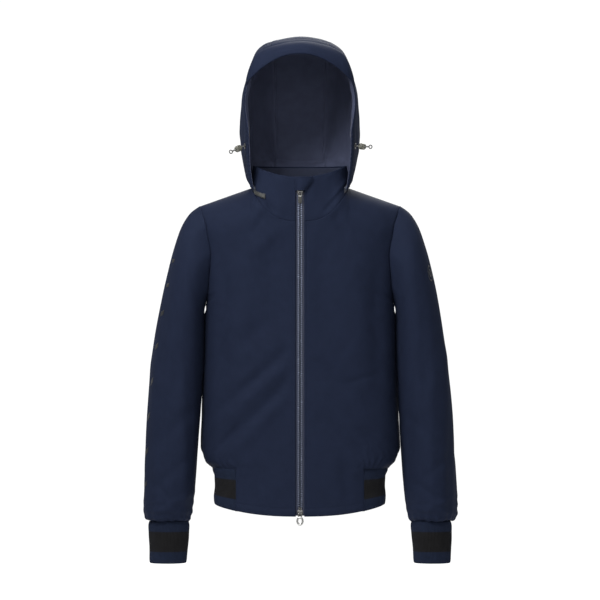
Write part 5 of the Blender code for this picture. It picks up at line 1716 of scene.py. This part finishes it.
for way, label in SIDES:
    columns = (0.0014, 0.0020, 0.0026, 0.0034, 0.0048, 0.0052, 0.0066, 0.0070, 0.0100, 0.0140, 0.0178)
    xs = [way * x for x in columns]

    def tape_y(x, s):
        ribs = 0.00018 * (abs(abs(x) - 0.0050) < 0.0003) + 0.00018 * (abs(abs(x) - 0.0068) < 0.0003)
        return TAPE_FRONT + 0.0001 + ribs

    rows = even(260, 0.002, ZIP_LENGTH - 0.002)
    zip_sheet(f"tape_{label}", xs, tape_y, rows, 0.0007, ZIP_TAPE, f"zip_tape_{label}")


def placket_y(x, s):
    return 0.0101 + 0.0002 * math.sin(s * 40 + x * 60)


placket = zip_sheet("placket", [0.048 * i / 30 - 0.024 for i in range(31)], placket_y,
                    even(220, 0.006, ZIP_LENGTH - 0.004), 0.0010, SOFTSHELL_EDGE, "storm_placket")
rows = [inset_path(placket, edge, EDGE_STITCH) for edge in ("u0", "u1")]
sew("stitches_placket", rows, "torso", "softshell")


def tooth(bm, way, s):
    """One moulded tooth: a body clamped on the tape's corded edge and a rounded head towards the middle."""
    profile = (
        (0.0044, 0.00095), (0.0032, 0.00110), (0.0022, 0.00078), (0.0014, 0.00080), (0.0008, 0.00074),
        (0.0004, 0.00040),
    )
    front, back = CHAIN_FRONT, CHAIN_BACK - 0.0001
    rings = []
    for x, half in profile:
        round_off = 0.00028
        ring = [
            (half, front + round_off), (half - round_off, front),
            (-half + round_off, front), (-half, front + round_off),
            (-half, back - round_off), (-half + round_off, back),
            (half - round_off, back), (half, back - round_off),
        ]
        dip = 0.00035 if x > 0.0040 else (0.00018 if x < 0.0006 else 0.0)
        across = way * (x + OPEN_MID - 0.0004)
        rings.append([
            bm.verts.new(ZIP @ Vector((across, y + (dip if y < 0.002 else -dip), s + dz)))
            for dz, y in ring
        ])
    for a, b in zip(rings, rings[1:]):
        for n in range(8):
            m = (n + 1) % 8
            bm.faces.new((a[n], a[m], b[m], b[n]))
    bm.faces.new(rings[0])
    bm.faces.new(rings[-1][::-1])


for way, label in SIDES:
    bm = bmesh.new()
    start = CHAIN_START + 0.0014 + (TOOTH_PITCH / 2 if way < 0 else 0)
    for n in range(int((CHAIN_END - start - 0.0008) / TOOTH_PITCH) + 1):
        tooth(bm, way, start + n * TOOTH_PITCH)
    bmesh.ops.recalc_face_normals(bm, faces=bm.faces)
    mesh = bpy.data.meshes.new(f"teeth_{label}")
    bm.to_mesh(mesh)
    bm.free()
    teeth = object_of(f"teeth_{label}", mesh, TEETH)
    mesh.set_sharp_from_angle(angle=math.radians(40))
    settle(teeth, "torso", "zip_teeth", f"zip_teeth_{label}")


def rounded_block(name, low, high, place, material, bevel=0.0003, segments=2):
    """A block with rounded edges in the zip's frame."""
    (x0, y0, z0), (x1, y1, z1) = low, high
    outline = [(x0, z0), (x1, z0), (x1, z1), (x0, z1)]
    middle = place @ Matrix.Translation((0, (y0 + y1) / 2, 0))
    return outline_solid(name, outline, y1 - y0, middle, material, bevel, segments)


for way, label in SIDES:
    stop_low, stop_high = sorted((way * 0.0009, way * 0.0044))
    stop = rounded_block(
        f"top_stop_{label}", (stop_low, 0.0007, CHAIN_END + 0.0007),
        (stop_high, 0.0034, CHAIN_END + 0.0039), ZIP,
        ZIP_METAL, 0.0006, 3,
    )
    settle(stop, "torso", "zip_metal", f"zip_top_stop_{label}")
    pin_low, pin_high = sorted((way * 0.0009, way * 0.0031))
    pin = rounded_block(
        f"pin_{label}", (pin_low, 0.0008, 0.0016), (pin_high, 0.0033, CHAIN_START - 0.0007), ZIP,
        ZIP_METAL, 0.0005, 3,
    )
    settle(pin, "torso", "zip_metal", "zip_insertion_pin" if way > 0 else "zip_retainer_pin")


def slider(name, s, body, nodes):
    """Two shaped plates, the post between them and the bridge over the front plate."""
    place = zip_frame(s)
    wide, tall = 0.0060, 0.0065
    outline = [
        (-wide * 0.62, -tall), (wide * 0.62, -tall), (wide * 0.80, -tall * 0.72), (wide * 0.98, tall * 0.10),
        (wide, tall * 0.62), (wide * 0.80, tall * 0.96), (wide * 0.34, tall), (0.0, tall * 0.80),
        (-wide * 0.34, tall), (-wide * 0.80, tall * 0.96), (-wide, tall * 0.62),
        (-wide * 0.98, tall * 0.10), (-wide * 0.80, -tall * 0.72),
    ]
    pieces = []
    for y in (-0.0007, 0.0063):
        middle = place @ Matrix.Translation((0, y, 0))
        pieces.append(outline_solid("plate", outline, 0.0014, middle, ZIP_METAL, 0.00035, 3))
    middle = place @ Matrix.Translation((0, 0.0028, 0.0010))
    pieces.append(outline_solid("post", oval(0.0004, 0.0030, 16), 0.0070, middle, ZIP_METAL))
    # The bridge: an arch in the plane across the zip.
    arch_path = []
    for n in range(25):
        turn = math.pi * n / 24
        y = -0.0010 - 0.0038 * math.sin(turn) ** 0.55
        arch_path.append(place @ Vector((0, y, -0.0036 * math.cos(turn))))
    arch = tube_along("arch", arch_path, 0.00075, ZIP_METAL, 16)
    for vertex in arch.data.vertices:
        local = place.inverted() @ vertex.co
        local.x *= 1.75
        vertex.co = place @ local
    pieces.append(arch)
    obj = joined(name, pieces, ZIP_METAL)
    settle(obj, body, "zip_metal", nodes)
    return obj


slider("slider_top", TOP_SLIDER_S, "top_slider", "top_slider")
slider("slider_bottom", BOTTOM_SLIDER_S, "bottom_slider", "bottom_slider")
HINGE_OUT = 0.0034


def bail(place, metal_of):
    """The wire that goes through the bridge and down both sides to the tab."""
    points = []
    for x, z in ((-0.0031, -0.0078), (-0.0032, -0.0040), (-0.0032, -0.0012), (-0.0024, -0.0001), (0.0, 0.0),
                 (0.0024, -0.0001), (0.0032, -0.0012), (0.0032, -0.0040), (0.0031, -0.0078)):
        points.append((x, -HINGE_OUT, z))
    smooth = smooth_rows(np.array(points), 40)
    return tube_along("bail", [place @ Vector(p) for p in smooth], 0.00060, metal_of, 14)


place = zip_frame(TOP_SLIDER_S)
tab_place = place @ Matrix.Translation((0, -HINGE_OUT, 0))
outline = oval(0.0037, 0.0076, 40, 4.5, (0, -0.0148))
tab = outline_solid("tab", outline, 0.0013, tab_place, OLIVE_TAB, 0.0004, 3)
settle(joined("top_pull_wire", [bail(place, BRIGHT_METAL)]), "top_pull", "zip_metal", "top_slider_pull")
outline = oval(0.0038, 0.0012, 24, 5, (0, -0.0082))
clamp = outline_solid("clamp", outline, 0.0022, tab_place, BRIGHT_METAL, 0.0004, 3)
edge_line = [tab_place @ Vector((-0.0033, -0.0006, z)) for z in np.linspace(-0.0090, -0.0212, 14)]
settle(joined("top_pull_clamp", [clamp]), "top_pull", "zip_metal")
tab_edge = tube_along("edge", edge_line, 0.00042, BRIGHT_METAL, 10)
settle(joined("top_pull_edge", [tab_edge]), "top_pull", "zip_metal")
settle(tab, "top_pull", "zip_metal", "top_slider_pull")

place = zip_frame(BOTTOM_SLIDER_S)
flat = place @ Matrix.Translation((0, -HINGE_OUT, -0.0155)) @ Matrix.Rotation(math.pi / 2, 4, "X")
flat = flat @ Matrix.Diagonal((1, 1.3, 1, 1))
turns = np.linspace(0, 2 * math.pi, 16, False)
section = [(0.0053 + 0.00185 * math.cos(t), 0.00110 * math.sin(t)) for t in turns]
donut = lathe("donut", section, flat, RING_METAL, 56)
obj = joined("bottom_pull_ring", [bail(place, RING_METAL), donut], RING_METAL)
settle(obj, "bottom_pull", "zip_metal", "bottom_slider_pull")

# The fabric garage over the zip's top.
GUARD_FOOT = 0.6460


def guard(u, v):
    left = -0.0095
    right = 0.0125 + 0.0135 * math.sin(v * math.pi / 2) ** 1.3
    bulge = 0.0006 + 0.0070 * math.sin(math.pi * min(max(u, 0.02), 0.98)) ** 0.6
    height = GUARD_FOOT + v * (ZIP_LENGTH - GUARD_FOOT)
    return zip_frame(height) @ Vector((left + u * (right - left), -bulge - 0.0010, 0))


GUARD_CORE = tuple(zip_point(0.68) + Vector((0, 0.05, 0)))
grid = lattice(guard, even(56), even(56))
left, right, foot, top = edge_distances(grid)
edge = np.minimum(np.minimum(left, right), top)
push = groove(np.minimum(edge, foot), 0.0028, 0.0003) + tucked(edge, 0.0003, 0.0012)
chin = Cloth("chin_cover", pushed(grid, GUARD_CORE, push), 0.0010, SOFTSHELL, GUARD_CORE)
settle(chin.obj, "torso", "softshell", "chin_guard")
rows = [inset_path(chin, name, 0.0028, 0.05, 0.95, 120) for name in ("u0", "u1", "v1")]
sew("stitches_chin", rows, "torso", "softshell", step=0.0022)


# ---- eyelets and cord locks ----
def grip_ridges(radius, low, high, count, depth=0.00016):
    """A lathe profile's side with fine ridges, from low to high."""
    steps = count * 8
    return [(radius - depth * (0.5 - 0.5 * math.cos(2 * math.pi * i * count / steps)),
             low + (high - low) * i / steps)
            for i in range(steps + 1)]


def carve(obj, cutter):
    """Takes the cutter's volume, and the cutter, away."""
    modifier = obj.modifiers.new("hole", "BOOLEAN")
    modifier.operation, modifier.object, modifier.solver = "DIFFERENCE", cutter, "EXACT"
    bpy.context.view_layer.update()
    final = bpy.data.meshes.new_from_object(obj.evaluated_get(bpy.context.evaluated_depsgraph_get()))
    obj.modifiers.clear()
    obj.data = final
    final.set_sharp_from_angle(angle=math.radians(38))
    bpy.data.objects.remove(cutter, do_unlink=True)


for way, label in SIDES:
    frame_of_eyelet, place, outwards = eyelet_frame(way)
    section = [
        (EYELET_INNER, 0.0011), (EYELET_INNER, 0.0018), (EYELET_INNER + 0.0004, 0.00215),
        (EYELET_INNER + 0.0010, 0.0022), (EYELET_OUTER - 0.0010, 0.0019), (EYELET_OUTER - 0.0003, 0.0016),
        (EYELET_OUTER, 0.0012), (EYELET_OUTER - 0.0004, 0.0010),
    ]
    eyelet = lathe(f"eyelet_ring_{label}", section, frame_of_eyelet, DARK_METAL, 48)
    eyelet.data.set_sharp_from_angle(angle=math.radians(50))
    settle(eyelet, "hood", "zip_metal", f"eyelet_{label}")

    lock, tip, heading = lock_frame(label, way)
    profile = [(0.00002, -0.0083), (0.0034, -0.0082), (0.0052, -0.0074), (0.0061, -0.0060)]
    profile += grip_ridges(LOCK_R, -0.0050, -0.0012, 4)
    profile += [(LOCK_R, 0.0034), (0.0062, 0.0048), (0.0057, 0.0057), (0.0051, 0.0060),
                (BORE_R + 0.0002, 0.0057), (BORE_R, 0.0050), (BORE_R, LOCK_FLOOR + 0.0002),
                (0.00002, LOCK_FLOOR)]
    barrel = lathe(f"barrel_{label}", profile, lock, LOCK_PLASTIC, 72, closed=False)
    across = lock @ Matrix.Translation((0, 0, CORD_HOLE_Z)) @ Matrix.Rotation(math.pi / 2, 4, "Y")
    hole = [(0.00001, -0.01), (CORD_HOLE_R, -0.01), (CORD_HOLE_R, 0.01), (0.00001, 0.01)]
    carve(barrel, lathe("cutter", hole, across, LOCK_PLASTIC, 40, closed=False))
    settle(barrel, f"lock_{label}", "lock_plastic", f"cord_lock_barrel_{label}")
    profile = [(0.00002, -0.0026), (PLUNGER_R - 0.0004, -0.0026), (PLUNGER_R, -0.0022), (PLUNGER_R, 0.0072),
               (PLUNGER_R - 0.0003, 0.0080), (PLUNGER_R - 0.0012, 0.0085), (0.0016, 0.0086),
               (0.0010, 0.0083), (0.00002, 0.0082)]
    plunger = lathe(f"plunger_{label}_knob", profile, lock, PLUNGER_PLASTIC, 64, closed=False)
    slot_hole = outline_solid("slot", oval(CORD_HOLE_R, 0.0034, 24, 2.6, (0, 0.0022)), 0.012,
                              lock @ Matrix.Rotation(math.pi / 2, 4, "Z"), PLUNGER_PLASTIC)
    carve(plunger, slot_hole)
    settle(plunger, f"plunger_{label}", "lock_plastic", f"cord_lock_plunger_{label}")
    coil = []
    for i in range(97):
        angle = 2 * math.pi * i / 48
        height = LOCK_FLOOR + 0.0004 + 0.0015 * i / 96
        coil.append(lock @ Vector((0.0032 * math.cos(angle), 0.0032 * math.sin(angle), height)))
    spring = tube_along(f"spring_{label}", coil, 0.0003, SPRING_METAL, 10)
    settle(spring, f"lock_{label}", "zip_metal", f"cord_lock_spring_{label}")


# ---- light and floor ----
def area_light(name, place, target, size, power, color=(1, 1, 1)):
    data = bpy.data.lights.new(name, "AREA")
    data.shape = "SQUARE"
    data.size = size
    data.energy = power
    data.color = color
    obj = bpy.data.objects.new(name, data)
    obj.location = place
    obj.rotation_euler = (Vector(target) - Vector(place)).to_track_quat("-Z", "Y").to_euler()
    scene.collection.objects.link(obj)


AMBIENT, BACKGROUND = 0.32, 1.05  # the studio's soft light, and its white walls
world = bpy.data.worlds.new("world")
scene.world = world
world.use_nodes = True
world_nodes, world_links = world.node_tree.nodes, world.node_tree.links
walls = world_nodes["Background"]
walls.inputs["Color"].default_value = (1, 1, 1, 1)
rays = world_nodes.new("ShaderNodeLightPath")
strength = world_nodes.new("ShaderNodeMapRange")
strength.inputs["To Min"].default_value = AMBIENT
strength.inputs["To Max"].default_value = BACKGROUND
world_links.new(rays.outputs["Is Camera Ray"], strength.inputs["Value"])
world_links.new(strength.outputs["Result"], walls.inputs["Strength"])
area_light("key", (-1.05, -1.6, 1.6), (0, 0, 0.0), 1.1, 66)
area_light("front", (0.0, -4.0, 1.0), (0, 0, 0.1), 1.4, 38)
area_light("top", (0.0, -0.2, 2.6), (0, 0, 0.0), 1.6, 40)
area_light("back", (0.6, 3.2, 2.2), (0, 0, 0.0), 2.2, 110)

FLOOR_Z = -1.45
PAPER_GLOW = 0.90
paper = Shader("studio_paper", (0.93, 0.93, 0.93), 0.9, Specular_IOR_Level=0.1, Emission_Color=(1, 1, 1, 1))
seen = paper.add("ShaderNodeLightPath")
glow = paper.math("MULTIPLY", seen.outputs["Is Camera Ray"], PAPER_GLOW)
paper.link(glow, paper.shader.inputs["Emission Strength"])
grain = paper.noise(paper.place(on_cloth=False), 40, 2.0)
paper.paint(paper.mix(grain, (0.925, 0.925, 0.925), (0.935, 0.935, 0.935)))
floor_mesh = bpy.data.meshes.new("floor")
reach = 14.0
floor_mesh.from_pydata(
    [(-reach, -reach, FLOOR_Z), (reach, -reach, FLOOR_Z), (reach, reach, FLOOR_Z), (-reach, reach, FLOOR_Z)],
    [], [(0, 1, 2, 3)],
)
floor_mesh.materials.append(paper.material)
floor = bpy.data.objects.new("floor", floor_mesh)
scene.collection.objects.link(floor)
